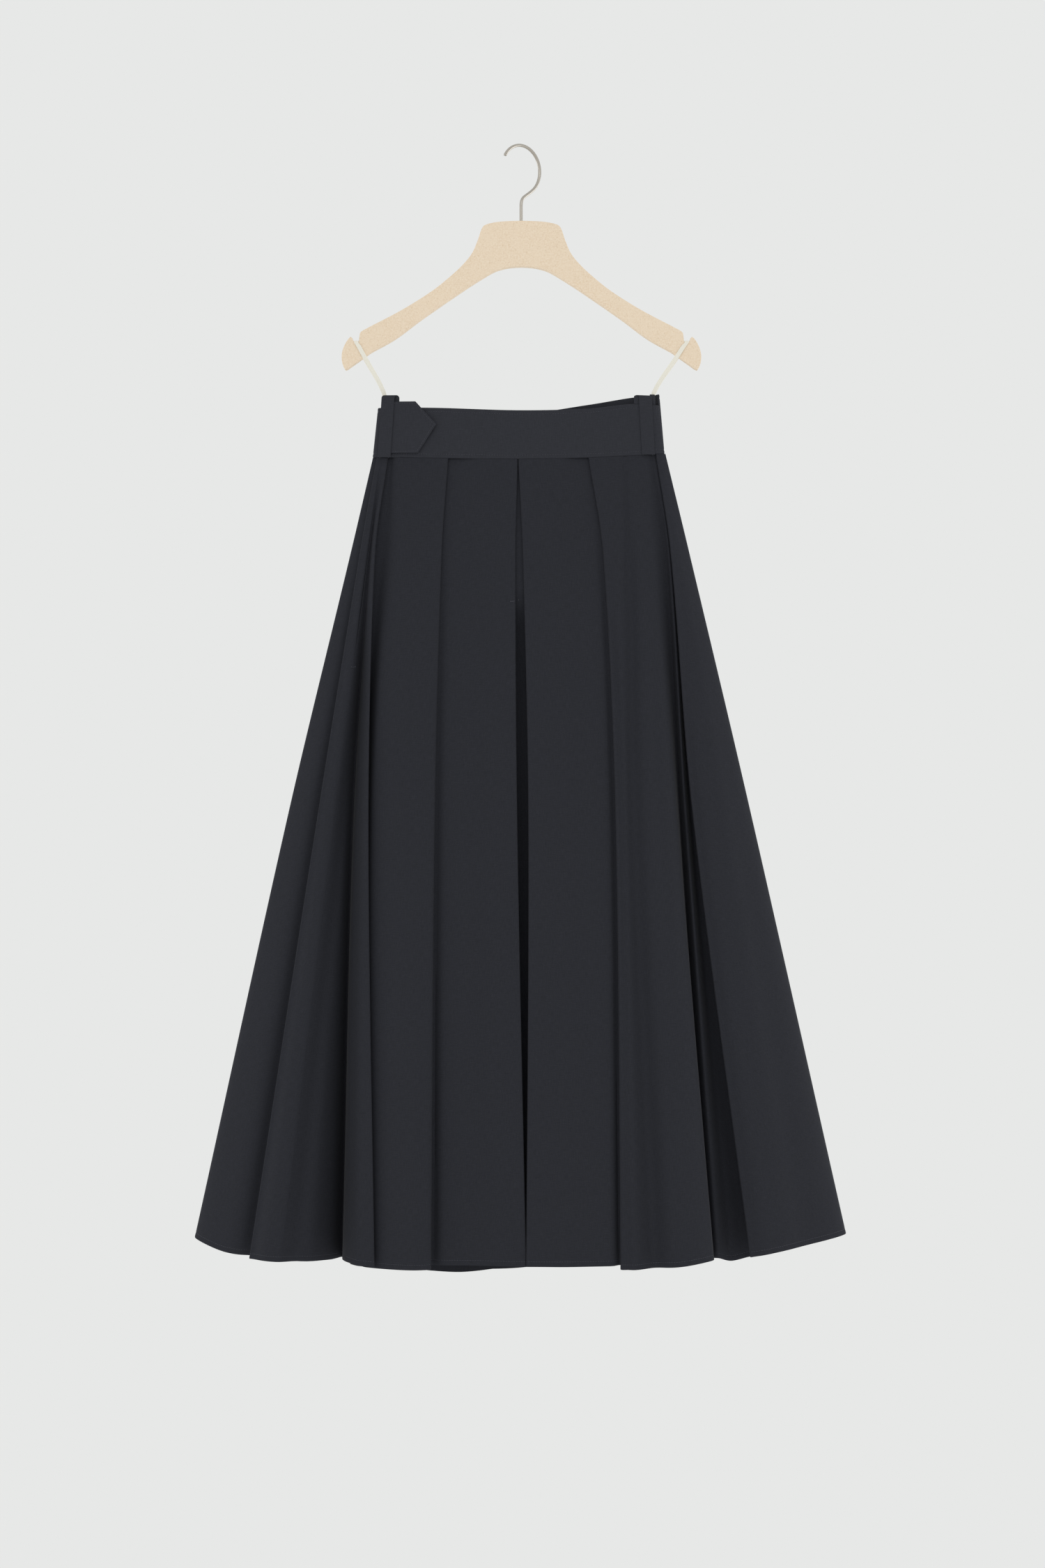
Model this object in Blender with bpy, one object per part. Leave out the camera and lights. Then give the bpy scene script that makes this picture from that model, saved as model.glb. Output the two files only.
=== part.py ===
"""A pleated maxi skirt hung by its two tape loops on a flat pressed-wood hanger.

Millimetres are turned into metres only where a mesh is made. The skirt hangs in front view: +X is to the
viewer's right, -Y is towards the viewer and +Z is up. The origin is the inside top of the hanger's hook.
"""

import math
from collections import namedtuple

import bmesh
import bpy
from mathutils import Vector

MM = 0.001
SEAM = 0.3

# The skirt's cloth
CLOTH = 1.0
LAYER = 1.9
FOLD_ROUND = 0.95
CORNER_LIMIT = 0.62
RINGS = (0.0, 0.03, 0.07, 0.12, 0.19, 0.28, 0.38, 0.5, 0.62, 0.75, 0.88, 1.0)
X_LEVELS = (0.0, 0.12, 0.45, 1.0)
Y_LEVELS = (0.0, 0.45, 1.0)

# The waistband, a flattened tube with its sides at u = -1 and u = 1
BAND = 2.4
BAND_CENTRE_X = -2.9
BAND_HALF_BOTTOM = 172.7
BAND_HALF_TOP = 166.5
BAND_SIDE_DEPTH = 6.0
BAND_DEPTH_BOTTOM = 16.0
BAND_DEPTH_TOP = 12.0
BAND_ROUNDING = 24
BAND_END_U = 0.9999
BAND_COLUMNS = 32
BAND_ROWS = 4
WAIST_TUCK = 0.2

BandEdge = namedtuple("BandEdge", "u bottom_front top_front bottom_back top_back")
BAND_EDGES = (
    BandEdge(-1.0, -370.0, -311.0, -370.0, -312.0),
    BandEdge(-0.6, -371.5, -311.5, -372.5, -315.0),
    BandEdge(0.0, -373.0, -314.6, -374.0, -317.0),
    BandEdge(0.5, -371.0, -312.5, -366.0, -306.0),
    BandEdge(0.8, -368.0, -307.0, -358.5, -298.0),
    BandEdge(1.0, -365.5, -308.0, -365.5, -294.5),
)

# One row for each fold, in order round the skirt. turn is the way a pressed fold's nose points, 0 on a soft
# one. step is the layer the cloth moves to there, 1 deeper or -1 nearer to the outside. side is -1 on the
# front, 1 on the back and 0 at a silhouette. layer counts inwards from the outside at the waist. The y
# columns are depths, negative to the front. length is the cloth's, from the waist seam to the hem. parts is
# the number of pieces the stretch up to the next row is divided into.
Fold = namedtuple(
    "Fold",
    "name turn step side layer x_waist x_hip x_knee x_hem y_mid y_hem length parts",
)
FRONT_LEFT = (
    Fold("side seam", 0, 0, -1, 0, -166.6, -181.6, -221.0, -281.5, -40, -86, 957, 2),
    Fold("side valley", 0, 0, -1, 0, -164.2, -179.2, -201.0, -215.0, -30, -46, 952, 2),
    Fold("side shoulder", 0, 0, -1, 0, -161.9, -176.9, -195.5, -207.0, -44, -94, 953, 2),
    Fold("side fold", 1, 1, -1, 0, -159.5, -174.5, -181.0, -172.0, -54, -104, 955, 3),
    Fold("side underfold", -1, 1, -1, 1, -162.4, -176.6, -193.5, -199.0, -30, -86, 955, 2),
    Fold("side gap", 0, 0, -1, 2, -155.0, -165.5, -187.0, -190.0, -26, -80, 955, 2),
    Fold("second panel edge", 0, 0, -1, 0.1, -150.0, -155.0, -177.5, -180.0, -47, -88, 956, 3),
    Fold("second panel", 0, 0, -1, 0, -117.5, -124.5, -141.0, -138.0, -60, -117, 957, 3),
    Fold("front fold", 1, 1, -1, 0, -85.0, -95.5, -103.0, -106.0, -62, -126, 956, 3),
    Fold("front underfold", -1, 1, -1, 1, -119.0, -130.0, -143.0, -147.0, -52, -106, 953, 3),
    Fold("first panel edge", 0, 0, -1, 1.9, -80.0, -90.0, -97.0, -98.0, -53, -108, 951, 2),
    Fold("first panel", 0, 0, -1, 0.1, -45.0, -48.0, -51.0, -46.0, -56, -112, 950, 2),
    Fold("centre fold", 1, 1, -1, 0, -5.5, -8.0, -6.0, 6.0, -56, -114, 951, 3),
    Fold("centre underfold", -1, 1, -1, 1, -38.0, -41.0, -46.0, -45.5, -40, -84, 948, 3),
)
FRONT_RIGHT = (
    Fold("front centre", 0, 0, -1, 2, -3.5, -3.5, 1.0, 7.0, -26, -60, 945, 3),
    Fold("centre underfold", 1, -1, -1, 2, 31.0, 36.0, 48.0, 60.0, -40, -84, 948, 3),
    Fold("centre fold", -1, -1, -1, 1, -2.0, 0.5, 7.5, 8.5, -56, -114, 951, 2),
    Fold("first panel", 0, 0, -1, 0.1, 42.0, 50.0, 58.0, 64.0, -57, -114, 952, 2),
    Fold("first panel edge", 0, 0, -1, 1.9, 75.0, 89.0, 103.0, 108.0, -54, -110, 953, 3),
    Fold("front underfold", 1, -1, -1, 2, 116.5, 130.0, 146.0, 157.0, -51, -107, 954, 3),
    Fold("front fold", -1, -1, -1, 1, 80.5, 95.0, 108.5, 115.5, -62, -128, 958, 3),
    Fold("second panel trough", 0, 0, -1, 0, 115.0, 125.5, 130.0, 151.5, -60, -118, 959, 2),
    Fold("second panel crest", 0, 0, -1, 0.5, 138.5, 143.5, 156.0, 191.0, -58, -113, 958, 2),
    Fold("second panel edge", 0, 0, -1, 1.2, 150.5, 157.0, 180.5, 226.5, -46, -94, 954, 2),
)
BACK_RIGHT = (
    Fold("side seam", 0, 0, -1, 2, 155.5, 171.5, 188.5, 221.0, -14, -44, 954, 2),
    Fold("valley ridge", 0, 0, -1, 2, 158.5, 175.5, 195.0, 232.0, -28, -60, 954, 2),
    Fold("second valley", 0, 0, -1, 2, 162.0, 180.0, 202.5, 250.0, -15, -38, 960, 2),
    Fold("side underfold", 1, -1, -1, 2, 164.8, 186.0, 225.0, 290.0, -22, -50, 955, 2),
    Fold("side fold", -1, -1, -1, 1, 159.5, 178.5, 204.0, 270.0, -38, -78, 956, 3),
    Fold("side panel", 0, 0, -1, 0, 167.0, 188.5, 245.0, 326.0, -27, -52, 953, 3),
    Fold("silhouette", 0, 0, 0, 0, 171.5, 198.5, 271.0, 386.5, 0, 0, 953, 3),
    Fold("side back panel", 0, 0, 1, 0, 166.0, 190.0, 250.5, 350.0, 24, 48, 954, 2),
    Fold("side back fold", -1, 1, 1, 0, 149.0, 167.0, 222.0, 300.0, 42, 86, 956, 2),
    Fold("side back underfold", 1, 1, 1, 1, 155.5, 179.0, 238.0, 322.0, 24, 52, 956, 2),
    Fold("second back panel edge", 0, 0, 1, 1.9, 141.5, 157.0, 205.0, 276.0, 37, 78, 957, 2),
    Fold("second back panel", 0, 0, 1, 0, 122.0, 136.0, 172.0, 228.0, 44, 92, 960, 2),
    Fold("back fold", -1, 1, 1, 0, 82.0, 88.0, 100.0, 118.0, 52, 108, 962, 3),
    Fold("back underfold", 1, 1, 1, 1, 114.0, 124.0, 142.0, 164.0, 38, 82, 962, 3),
    Fold("first back panel edge", 0, 0, 1, 1.9, 77.0, 83.0, 95.0, 112.0, 46, 94, 963, 2),
    Fold("first back panel", 0, 0, 1, 0.1, 44.0, 46.0, 55.0, 67.0, 49, 101, 964, 2),
    Fold("back centre fold", -1, 1, 1, 0, 0.5, 2.0, 5.0, 9.0, 50, 104, 966, 3),
    Fold("back centre underfold", 1, 1, 1, 1, 34.0, 38.0, 48.0, 60.0, 36, 76, 966, 3),
)
BACK_LEFT = (
    Fold("back centre", 0, 0, 1, 2, -3.0, -3.0, -2.0, -1.0, 24, 54, 968, 3),
    Fold("back centre underfold", -1, -1, 1, 2, -40.0, -44.0, -52.0, -62.0, 36, 76, 974, 3),
    Fold("back centre fold", 1, -1, 1, 1, -6.5, -8.0, -9.0, -11.0, 50, 104, 976, 2),
    Fold("first back panel", 0, 0, 1, 0.1, -50.0, -53.0, -60.0, -69.0, 49, 101, 982, 2),
    Fold("first back panel edge", 0, 0, 1, 1.9, -83.0, -89.0, -102.0, -120.0, 46, 94, 980, 3),
    Fold("back underfold", -1, -1, 1, 2, -120.0, -130.0, -150.0, -172.0, 37, 80, 972, 3),
    Fold("back fold", 1, -1, 1, 1, -88.0, -94.0, -107.0, -126.0, 52, 108, 976, 3),
    Fold("second back panel", 0, 0, 1, 0, -126.0, -140.0, -178.0, -238.0, 41, 85, 964, 3),
    Fold("side back panel", 0, 0, 1, 0, -167.0, -190.5, -255.5, -352.0, 20, 42, 956, 3),
    Fold("silhouette", 0, 0, 0, 0, -176.0, -202.0, -275.5, -388.3, 0, 0, 952, 3),
    Fold("outer panel", 0, 0, -1, 1.2, -173.6, -197.5, -260.5, -350.0, -15, -36, 958, 3),
    Fold("outer underfold", 1, -1, -1, 2, -167.3, -187.0, -226.0, -288.0, -29, -57, 956, 3),
    Fold("outer fold", -1, -1, -1, 1, -170.5, -193.0, -242.0, -317.5, -38, -76, 959, 3),
)
PANELS = (
    ("skirt_front_left", FRONT_LEFT),
    ("skirt_front_right", FRONT_RIGHT),
    ("skirt_back_right", BACK_RIGHT),
    ("skirt_back_left", BACK_LEFT),
)

# The pointed belt tab and the two carriers, seen from the front
TAB = 2.0
TAB_LIFT = 3.0
TAB_ROOT_U = -0.965
TAB_SHOULDER_X = -125.5
TAB_LOWER_SHOULDER_X = -122.0
TAB_POINT_X = -100.4
TAB_POINT_Z = -331.5
TAB_TOP_Z = -304.0
TAB_BOTTOM_Z = -365.5
CARRIER = 1.2
CARRIER_WIDTH = 15.6
CARRIER_TOP_Z = -297.0
CARRIER_BEND = 3.0
CARRIER_ROUND = 1.4
CARRIER_STOPS = 5
CARRIER_ARC = 6
CARRIER_SLACK = 0.4
CARRIER_SHIFT = 5.5
CARRIER_LEFT_TOP_X = -158.0
CARRIER_LEFT_BOTTOM_X = -162.8
CARRIER_RIGHT_TOP_X = 147.5
CARRIER_RIGHT_BOTTOM_X = 151.2

# The hanger and its hook
HANGER_CENTRE_X = 0.4
HANGER_THICKNESS = 12.0
HANGER_EDGE = 2.4
NOTCH_INNER = 193.6
NOTCH_OUTER = 199.4
NOTCH_FLOOR_Z = -232.4
HOOK_RADIUS = 29.0
HOOK_WIRE = 1.9
HOOK_TURN = math.radians(40.0)
HOOK_TIP_ANGLE = math.radians(150.0)
HOOK_LEAVE_ANGLE = math.radians(-52.0)
HOOK_STEPS = 22
HOOK_NECK_DROP = 22.0
HOOK_LEAVE_PULL = 17.0
HOOK_NECK_PULL = 13.6
HOOK_NECK_STEPS = 9
HOOK_HOLE_DEPTH = 15.0
HOOK_CLEARANCE = 0.3
WIRE_SIDES = 10

# Half of the hanger's outline, as distance from its centre and height
OutlinePoint = namedtuple("OutlinePoint", "out z")
HANGER_TOP = (
    OutlinePoint(0.0, -88.5),
    OutlinePoint(25.0, -89.6),
    OutlinePoint(41.0, -92.6),
    OutlinePoint(46.5, -96.5),
    OutlinePoint(52.3, -112.5),
    OutlinePoint(59.0, -127.5),
    OutlinePoint(69.5, -140.5),
    OutlinePoint(83.0, -153.3),
    OutlinePoint(106.0, -171.8),
    OutlinePoint(143.0, -195.0),
    OutlinePoint(189.0, -219.2),
    OutlinePoint(192.2, -222.0),
)
HANGER_END = (
    OutlinePoint(201.2, -228.2),
    OutlinePoint(203.6, -226.8),
    OutlinePoint(209.5, -234.5),
    OutlinePoint(213.6, -246.0),
    OutlinePoint(213.4, -257.0),
    OutlinePoint(209.6, -265.6),
    OutlinePoint(206.5, -265.0),
)
HANGER_BOTTOM = (
    OutlinePoint(179.0, -245.2),
    OutlinePoint(150.0, -229.0),
    OutlinePoint(119.0, -206.0),
    OutlinePoint(69.0, -171.5),
    OutlinePoint(46.0, -156.8),
    OutlinePoint(30.0, -148.0),
    OutlinePoint(14.0, -144.0),
)

# The tape loops
TAPE = 0.9
TAPE_WIDTH = 5.2
TAPE_LEFT_FOOT_X = -163.5
TAPE_RIGHT_FOOT_X = 158.0
TAPE_FOOT_Z = -326.0
TAPE_LEAVE_Z = -315.0
TAPE_MOUTH_Z = -293.0
TAPE_MOUTH_Y = 1.4
TAPE_OUT_Z = -252.0
TAPE_REST = 6.0
TAPE_BEND = 2.2
TAPE_SLACK = 0.3
TAPE_INSET = 0.35
TAPE_ARC = 5


def material(name, colour, roughness, metallic=0.0):
    made = bpy.data.materials.new(name)
    made.use_nodes = True
    shader = made.node_tree.nodes["Principled BSDF"]
    shader.inputs["Base Color"].default_value = (*colour, 1.0)
    shader.inputs["Roughness"].default_value = roughness
    shader.inputs["Metallic"].default_value = metallic
    return made


def between(values, levels, t):
    """The height at t of a smooth curve through values given at levels."""
    slopes = []
    for i in range(len(values)):
        low = max(i - 1, 0)
        high = min(i + 1, len(values) - 1)
        slopes.append((values[high] - values[low]) / (levels[high] - levels[low]))
    i = 0
    while i < len(levels) - 2 and t > levels[i + 1]:
        i += 1
    width = levels[i + 1] - levels[i]
    s = (t - levels[i]) / width
    rise = values[i + 1] - values[i]
    a = slopes[i] * width - rise
    b = rise - slopes[i + 1] * width
    return values[i] + s * rise + s * (1 - s) * (a * (1 - s) + b * s)


def band_edge(u, column):
    """Height of one edge of the waistband at u, from -1 at the left side to 1 at the right."""
    us = [row.u for row in BAND_EDGES]
    heights = [getattr(row, column) for row in BAND_EDGES]
    return between(heights, us, max(-1.0, min(1.0, u)))


def band_half(h):
    return BAND_HALF_BOTTOM + (BAND_HALF_TOP - BAND_HALF_BOTTOM) * h


def band_depth(u, h):
    """How far the waistband's middle surface stands from y = 0, at u and at h from its bottom to its top."""
    middle = BAND_DEPTH_BOTTOM + (BAND_DEPTH_TOP - BAND_DEPTH_BOTTOM) * h
    u = min(abs(u), 1.0)
    lens = BAND_SIDE_DEPTH + (middle - BAND_SIDE_DEPTH) * (1 - u * u)
    return lens * math.sqrt(1 - u**BAND_ROUNDING)


def fold_place(fold, t, layer):
    """Where a fold's line is at t, from 0 at the waist to 1 at the hem, in the layer given."""
    u = (fold.x_waist - BAND_CENTRE_X) / BAND_HALF_BOTTOM
    waist_y = fold.side * (band_depth(u, 0) + BAND / 2 - CLOTH / 2 - WAIST_TUCK - LAYER * layer)
    x = between((fold.x_waist, fold.x_hip, fold.x_knee, fold.x_hem), X_LEVELS, t)
    shift = fold.side * LAYER * (fold.layer - layer)
    y = between((waist_y, fold.y_mid + shift, fold.y_hem + shift), Y_LEVELS, t)
    return Vector((x, y))


def fold_height(fold, t):
    """Height of a fold's line at t. Every line of the cloth keeps its length as it swings out."""
    u = (fold.x_waist - BAND_CENTRE_X) / BAND_HALF_BOTTOM
    front = band_edge(u, "bottom_front")
    back = band_edge(u, "bottom_back")
    start = front + (back - front) * (fold.side + 1) / 2 - SEAM
    across = fold_place(fold, 1.0, fold.layer) - fold_place(fold, 0.0, fold.layer)
    return start - t * math.sqrt(fold.length**2 - across.length_squared)


def curve_points(controls, parts):
    """Points on a smooth curve through the controls, with parts[i] pieces after control i."""
    points = []
    for i in range(len(controls) - 1):
        a = controls[max(i - 1, 0)]
        b = controls[i]
        c = controls[i + 1]
        d = controls[min(i + 2, len(controls) - 1)]
        span = (c - b).length
        leave = (c - a) * (span / max((b - a).length + span, 1e-6))
        arrive = (d - b) * (span / max((d - c).length + span, 1e-6))
        for k in range(parts[i]):
            s = k / parts[i]
            one = leave * (s * (1 - s) ** 2) - arrive * (s * s * (1 - s))
            points.append(b + (c - b) * (s * s * (3 - 2 * s)) + one)
    return points


def skirt_ring(t):
    """Points of the cloth's middle surface round the skirt at t, and the index where each panel starts."""
    folds = [fold for _, rows in PANELS for fold in rows]
    starts = []
    points = []
    run = []
    parts = []

    seams = {id(rows[0]): number for number, (_, rows) in enumerate(PANELS)}
    first_seam = folds[0]
    for fold in folds + [first_seam]:
        here = fold_place(fold, t, fold.layer)
        height = fold_height(fold, t)
        run.append(Vector((here.x, here.y, height)))
        if id(fold) in seams and len(starts) < len(PANELS):
            starts.append(len(points) + sum(parts))
        if fold.turn:
            points.extend(curve_points(run, parts))
            points.append(run[-1].copy())
            nose_y = fold.side * -LAYER * fold.step / 2
            points.append(run[-1] + Vector((fold.turn * FOLD_ROUND, nose_y, 0)))
            run = [run[-1] + Vector((0, 2 * nose_y, 0))]
            parts = []
        parts.append(fold.parts)
    points.extend(curve_points(run, parts))
    return points, starts


def outward(points, i):
    """The level direction out of the cloth's right side at point i of a closed ring, longer at a corner."""
    before = points[i] - points[i - 1]
    after = points[(i + 1) % len(points)] - points[i]
    one = Vector((before.y, -before.x, 0)).normalized()
    two = Vector((after.y, -after.x, 0)).normalized()
    both = (one + two).normalized()
    return both / max(both.dot(one), CORNER_LIMIT)


def wall_mesh(name, outer, inner, look):
    """One closed wall between two grids of points, given as rings from the top down."""
    mesh = bmesh.new()
    rings = len(outer)
    count = len(outer[0])
    out = [[mesh.verts.new(point * MM) for point in ring] for ring in outer]
    inn = [[mesh.verts.new(point * MM) for point in ring] for ring in inner]
    for r in range(rings - 1):
        for i in range(count - 1):
            mesh.faces.new((out[r][i], out[r + 1][i], out[r + 1][i + 1], out[r][i + 1]))
            mesh.faces.new((inn[r][i], inn[r][i + 1], inn[r + 1][i + 1], inn[r + 1][i]))
        mesh.faces.new((out[r][0], inn[r][0], inn[r + 1][0], out[r + 1][0]))
        mesh.faces.new((out[r][-1], out[r + 1][-1], inn[r + 1][-1], inn[r][-1]))
    for i in range(count - 1):
        mesh.faces.new((out[0][i], out[0][i + 1], inn[0][i + 1], inn[0][i]))
        mesh.faces.new((out[-1][i], inn[-1][i], inn[-1][i + 1], out[-1][i + 1]))
    return finished(name, mesh, look)


def finished(name, mesh, look):
    """The object made from a bmesh, with its faces pointing out."""
    bmesh.ops.recalc_face_normals(mesh, faces=mesh.faces)
    data = bpy.data.meshes.new(name)
    mesh.to_mesh(data)
    mesh.free()
    data.materials.append(look)
    data.shade_smooth()
    data.set_sharp_from_angle(angle=math.radians(40))
    made = bpy.data.objects.new(name, data)
    bpy.context.scene.collection.objects.link(made)
    return made


def waist_height(point):
    """Height of the waist seam at a point of the skirt's top ring, just below the waistband."""
    edge = "bottom_front" if point.y < 0 else "bottom_back"
    return band_edge(band_u(point.x, 0), edge) - SEAM


def make_skirt(look):
    """The four panels, cut from one ring of cloth at the side seams and the two centre seams."""
    rings = [skirt_ring(t) for t in RINGS]
    count = len(rings[0][0])
    starts = rings[0][1] + [count]
    for number, (name, _) in enumerate(PANELS):
        first, last = starts[number], starts[number + 1]
        outer, inner = [], []
        for points, _ in rings:
            out_ring, in_ring = [], []
            for i in range(first, last + 1):
                here = points[i % count].copy()
                way = outward(points, i % count)
                along = Vector((-way.y, way.x, 0)).normalized()
                if i == first:
                    here += along * (SEAM / 2)
                if i == last:
                    here -= along * (SEAM / 2)
                out_ring.append(here + way * (CLOTH / 2))
                in_ring.append(here - way * (CLOTH / 2))
            if not outer:
                for point in out_ring + in_ring:
                    point.z = waist_height(point)
            outer.append(out_ring)
            inner.append(in_ring)
        wall_mesh(name, outer, inner, look)


def band_point(u, h, side, out=0.0):
    """A point on the waistband, h from bottom to top, moved out by so much from its middle surface."""
    where = "front" if side < 0 else "back"
    bottom = band_edge(u, f"bottom_{where}")
    top = band_edge(u, f"top_{where}")
    x = BAND_CENTRE_X + u * band_half(h)
    y = side * band_depth(u, h)
    if out:
        step = 0.004
        low = max(-1.0, u - step)
        high = min(1.0, u + step)
        ahead = side * (band_depth(high, h) - band_depth(low, h))
        way = Vector((side * -ahead, side * (high - low) * band_half(h), 0)).normalized()
        x += way.x * out
        y += way.y * out
    return Vector((x, y, bottom + (top - bottom) * h))


def band_u(x, h):
    return (x - BAND_CENTRE_X) / band_half(h)


def band_h(u, z, side=-1):
    """How high z is on one half of the waistband, 0 at its bottom edge and 1 at its top."""
    where = "front" if side < 0 else "back"
    bottom = band_edge(u, f"bottom_{where}")
    return (z - bottom) / (band_edge(u, f"top_{where}") - bottom)


def make_band(name, side, look):
    """Half of the waistband, from one side seam to the other."""
    turns = [math.pi / 2 * (2 * i / BAND_COLUMNS - 1) for i in range(BAND_COLUMNS + 1)]
    us = [BAND_END_U * math.sin(turn) for turn in turns]
    outer, inner = [], []
    for r in range(BAND_ROWS):
        h = 1 - r / (BAND_ROWS - 1)
        outer.append([band_wall(u, h, side, BAND / 2) for u in us])
        inner.append([band_wall(u, h, side, -BAND / 2) for u in us])
    return wall_mesh(name, outer, inner, look)


def band_wall(u, h, side, out):
    """A point of the waistband's outer or inner face, kept half a seam clear of the other half."""
    point = band_point(u, h, side, out)
    if side < 0:
        point.y = min(point.y, -SEAM / 2)
    else:
        point.y = max(point.y, SEAM / 2)
    return point


def on_band(x, z, out, side=-1):
    """A point by one half of the waistband, or by its slope carried on above its top edge."""
    h = band_h(band_u(x, 0.5), z, side)
    point = band_point(band_u(x, h), h, side, out)
    point.z = z
    return point


def make_tab(look):
    """The belt's pointed end, a flat tab that lies on the waistband and lifts a little at its point."""
    rows = 6
    columns = 9
    outer, inner = [], []
    for r in range(rows + 1):
        z = TAB_TOP_Z + (TAB_BOTTOM_Z - TAB_TOP_Z) * r / rows
        if z > TAB_POINT_Z:
            share = (TAB_TOP_Z - z) / (TAB_TOP_Z - TAB_POINT_Z)
            end = TAB_SHOULDER_X + (TAB_POINT_X - TAB_SHOULDER_X) * share
        else:
            share = (z - TAB_BOTTOM_Z) / (TAB_POINT_Z - TAB_BOTTOM_Z)
            end = TAB_LOWER_SHOULDER_X + (TAB_POINT_X - TAB_LOWER_SHOULDER_X) * share
        root = BAND_CENTRE_X + TAB_ROOT_U * band_half(band_h(TAB_ROOT_U, z))
        out_row, in_row = [], []
        for c in range(columns + 1):
            x = root + (end - root) * c / columns
            lift = TAB_LIFT * ((x - root) / (TAB_POINT_X - root)) ** 3
            near = BAND / 2 + SEAM + lift
            in_row.append(on_band(x, z, near))
            out_row.append(on_band(x, z, near + TAB))
        outer.append(out_row)
        inner.append(in_row)
    return wall_mesh("belt_tab", outer, inner, look)


def make_carrier(name, top_x, bottom_x, clear, look):
    """A belt carrier: sewn below the waistband, up over it with some slack, and back onto its top edge."""
    bottom_z = band_edge(band_u(bottom_x, 0), "bottom_front")
    slope = (top_x - bottom_x) / (CARRIER_TOP_Z - bottom_z)
    out = BAND / 2 + SEAM + clear + CARRIER / 2
    edges = []
    inner_x = top_x - math.copysign(CARRIER_SHIFT, top_x)
    for x in (inner_x - CARRIER_WIDTH / 2, inner_x + CARRIER_WIDTH / 2):
        edge_z = band_edge(band_u(x, 1), "top_front")
        edges.append(on_band(x, edge_z, 0))
    level = edges[1] - edges[0]
    seat = (edges[0] + edges[1]) / 2
    apart = seat.y - on_band(top_x, CARRIER_TOP_Z, out).y
    bend = min(CARRIER_BEND, CARRIER_ROUND * apart / 2)
    bend_z = CARRIER_TOP_Z - bend
    path = []
    for k in range(CARRIER_STOPS + 1):
        z = bottom_z + (bend_z - bottom_z) * k / CARRIER_STOPS
        x = bottom_x + slope * (z - bottom_z)
        path.append(Vector((x, on_band(x, z, out).y, z)))
    start = path[-1]
    reach = (seat - start) / 2
    for k in range(1, CARRIER_ARC):
        angle = math.pi * k / CARRIER_ARC
        share = 1 - math.cos(angle)
        z = bend_z + bend * math.sin(angle)
        path.append(Vector((start.x + reach.x * share, start.y + reach.y * share, z)))
    path.append(Vector((seat.x, seat.y, bend_z)))
    path.append(Vector((seat.x, seat.y, seat.z + SEAM)))
    return strip(name, path, [level] * len(path), CARRIER_WIDTH, CARRIER, look)


def strip(name, path, across, width, thickness, look):
    """A flat strip along a path, wide in the directions given."""
    outer, inner = [], []
    for i, here in enumerate(path):
        ahead = path[min(i + 1, len(path) - 1)] - path[max(i - 1, 0)]
        face = ahead.cross(across[i]).normalized() * (thickness / 2)
        side = across[i].normalized() * (width / 2)
        outer.append([here - side + face, here + side + face])
        inner.append([here - side - face, here + side - face])
    return wall_mesh(name, outer, inner, look)


def make_tape(name, side, foot_x, look):
    """A hanging loop: sewn inside the front waistband, over the hanger's notch, and inside the back one."""
    top_x = HANGER_CENTRE_X + side * (NOTCH_INNER + NOTCH_OUTER) / 2
    over_y = HANGER_THICKNESS / 2 + SEAM + TAPE / 2 + TAPE_SLACK
    top_z = NOTCH_FLOOR_Z + SEAM + TAPE / 2
    lean = Vector((top_x - foot_x, 0, NOTCH_FLOOR_Z - TAPE_MOUTH_Z)).normalized()
    flat = Vector((lean.z, 0, -lean.x))
    level = Vector((1, 0, 0))

    def at(z, y):
        share = (z - TAPE_MOUTH_Z) / (NOTCH_FLOOR_Z - TAPE_MOUTH_Z)
        return Vector((foot_x + (top_x - foot_x) * share, y, z))

    def strand(half):
        inside = -BAND / 2 - SEAM - TAPE / 2 - TAPE_INSET
        low = on_band(foot_x, TAPE_FOOT_Z, inside, half)
        high = on_band(foot_x, TAPE_LEAVE_Z, inside, half)
        left = on_band(foot_x - 1, TAPE_FOOT_Z, inside, half)
        along = on_band(foot_x + 1, TAPE_FOOT_Z, inside, half) - left
        found = [
            (low, along),
            (high, along),
            (at(TAPE_MOUTH_Z, half * TAPE_MOUTH_Y), flat),
            (at(TAPE_OUT_Z, half * over_y), flat),
            (at(NOTCH_FLOOR_Z - TAPE_REST, half * over_y), flat),
        ]
        for k in range(TAPE_ARC + 1):
            angle = math.pi / 2 * k / TAPE_ARC
            y = half * (over_y - TAPE_BEND + TAPE_BEND * math.cos(angle))
            found.append((Vector((top_x, y, top_z - TAPE_BEND + TAPE_BEND * math.sin(angle))), level))
        return found

    sections = strand(-1) + strand(1)[::-1]
    path = [place for place, _ in sections]
    across = [way for _, way in sections]
    return strip(name, path, across, TAPE_WIDTH, TAPE, look)


def hanger_outline():
    """The hanger's outline, the right half first and then its mirror image."""
    top = smooth_outline(HANGER_TOP, 2)
    end = smooth_outline(HANGER_END, 2)
    bottom = smooth_outline(HANGER_BOTTOM + (OutlinePoint(0.0, -143.0),), 2)
    notch = [(NOTCH_INNER, NOTCH_FLOOR_Z), (NOTCH_OUTER, NOTCH_FLOOR_Z)]
    half = top + notch + end + bottom
    mirrored = [(-out, z) for out, z in reversed(half[1:-1])]
    return half + mirrored


def smooth_outline(rows, parts):
    controls = [Vector((row.out, row.z)) for row in rows]
    points = curve_points(controls, [parts] * (len(controls) - 1))
    return [(p.x, p.y) for p in points] + [(rows[-1].out, rows[-1].z)]


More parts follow.
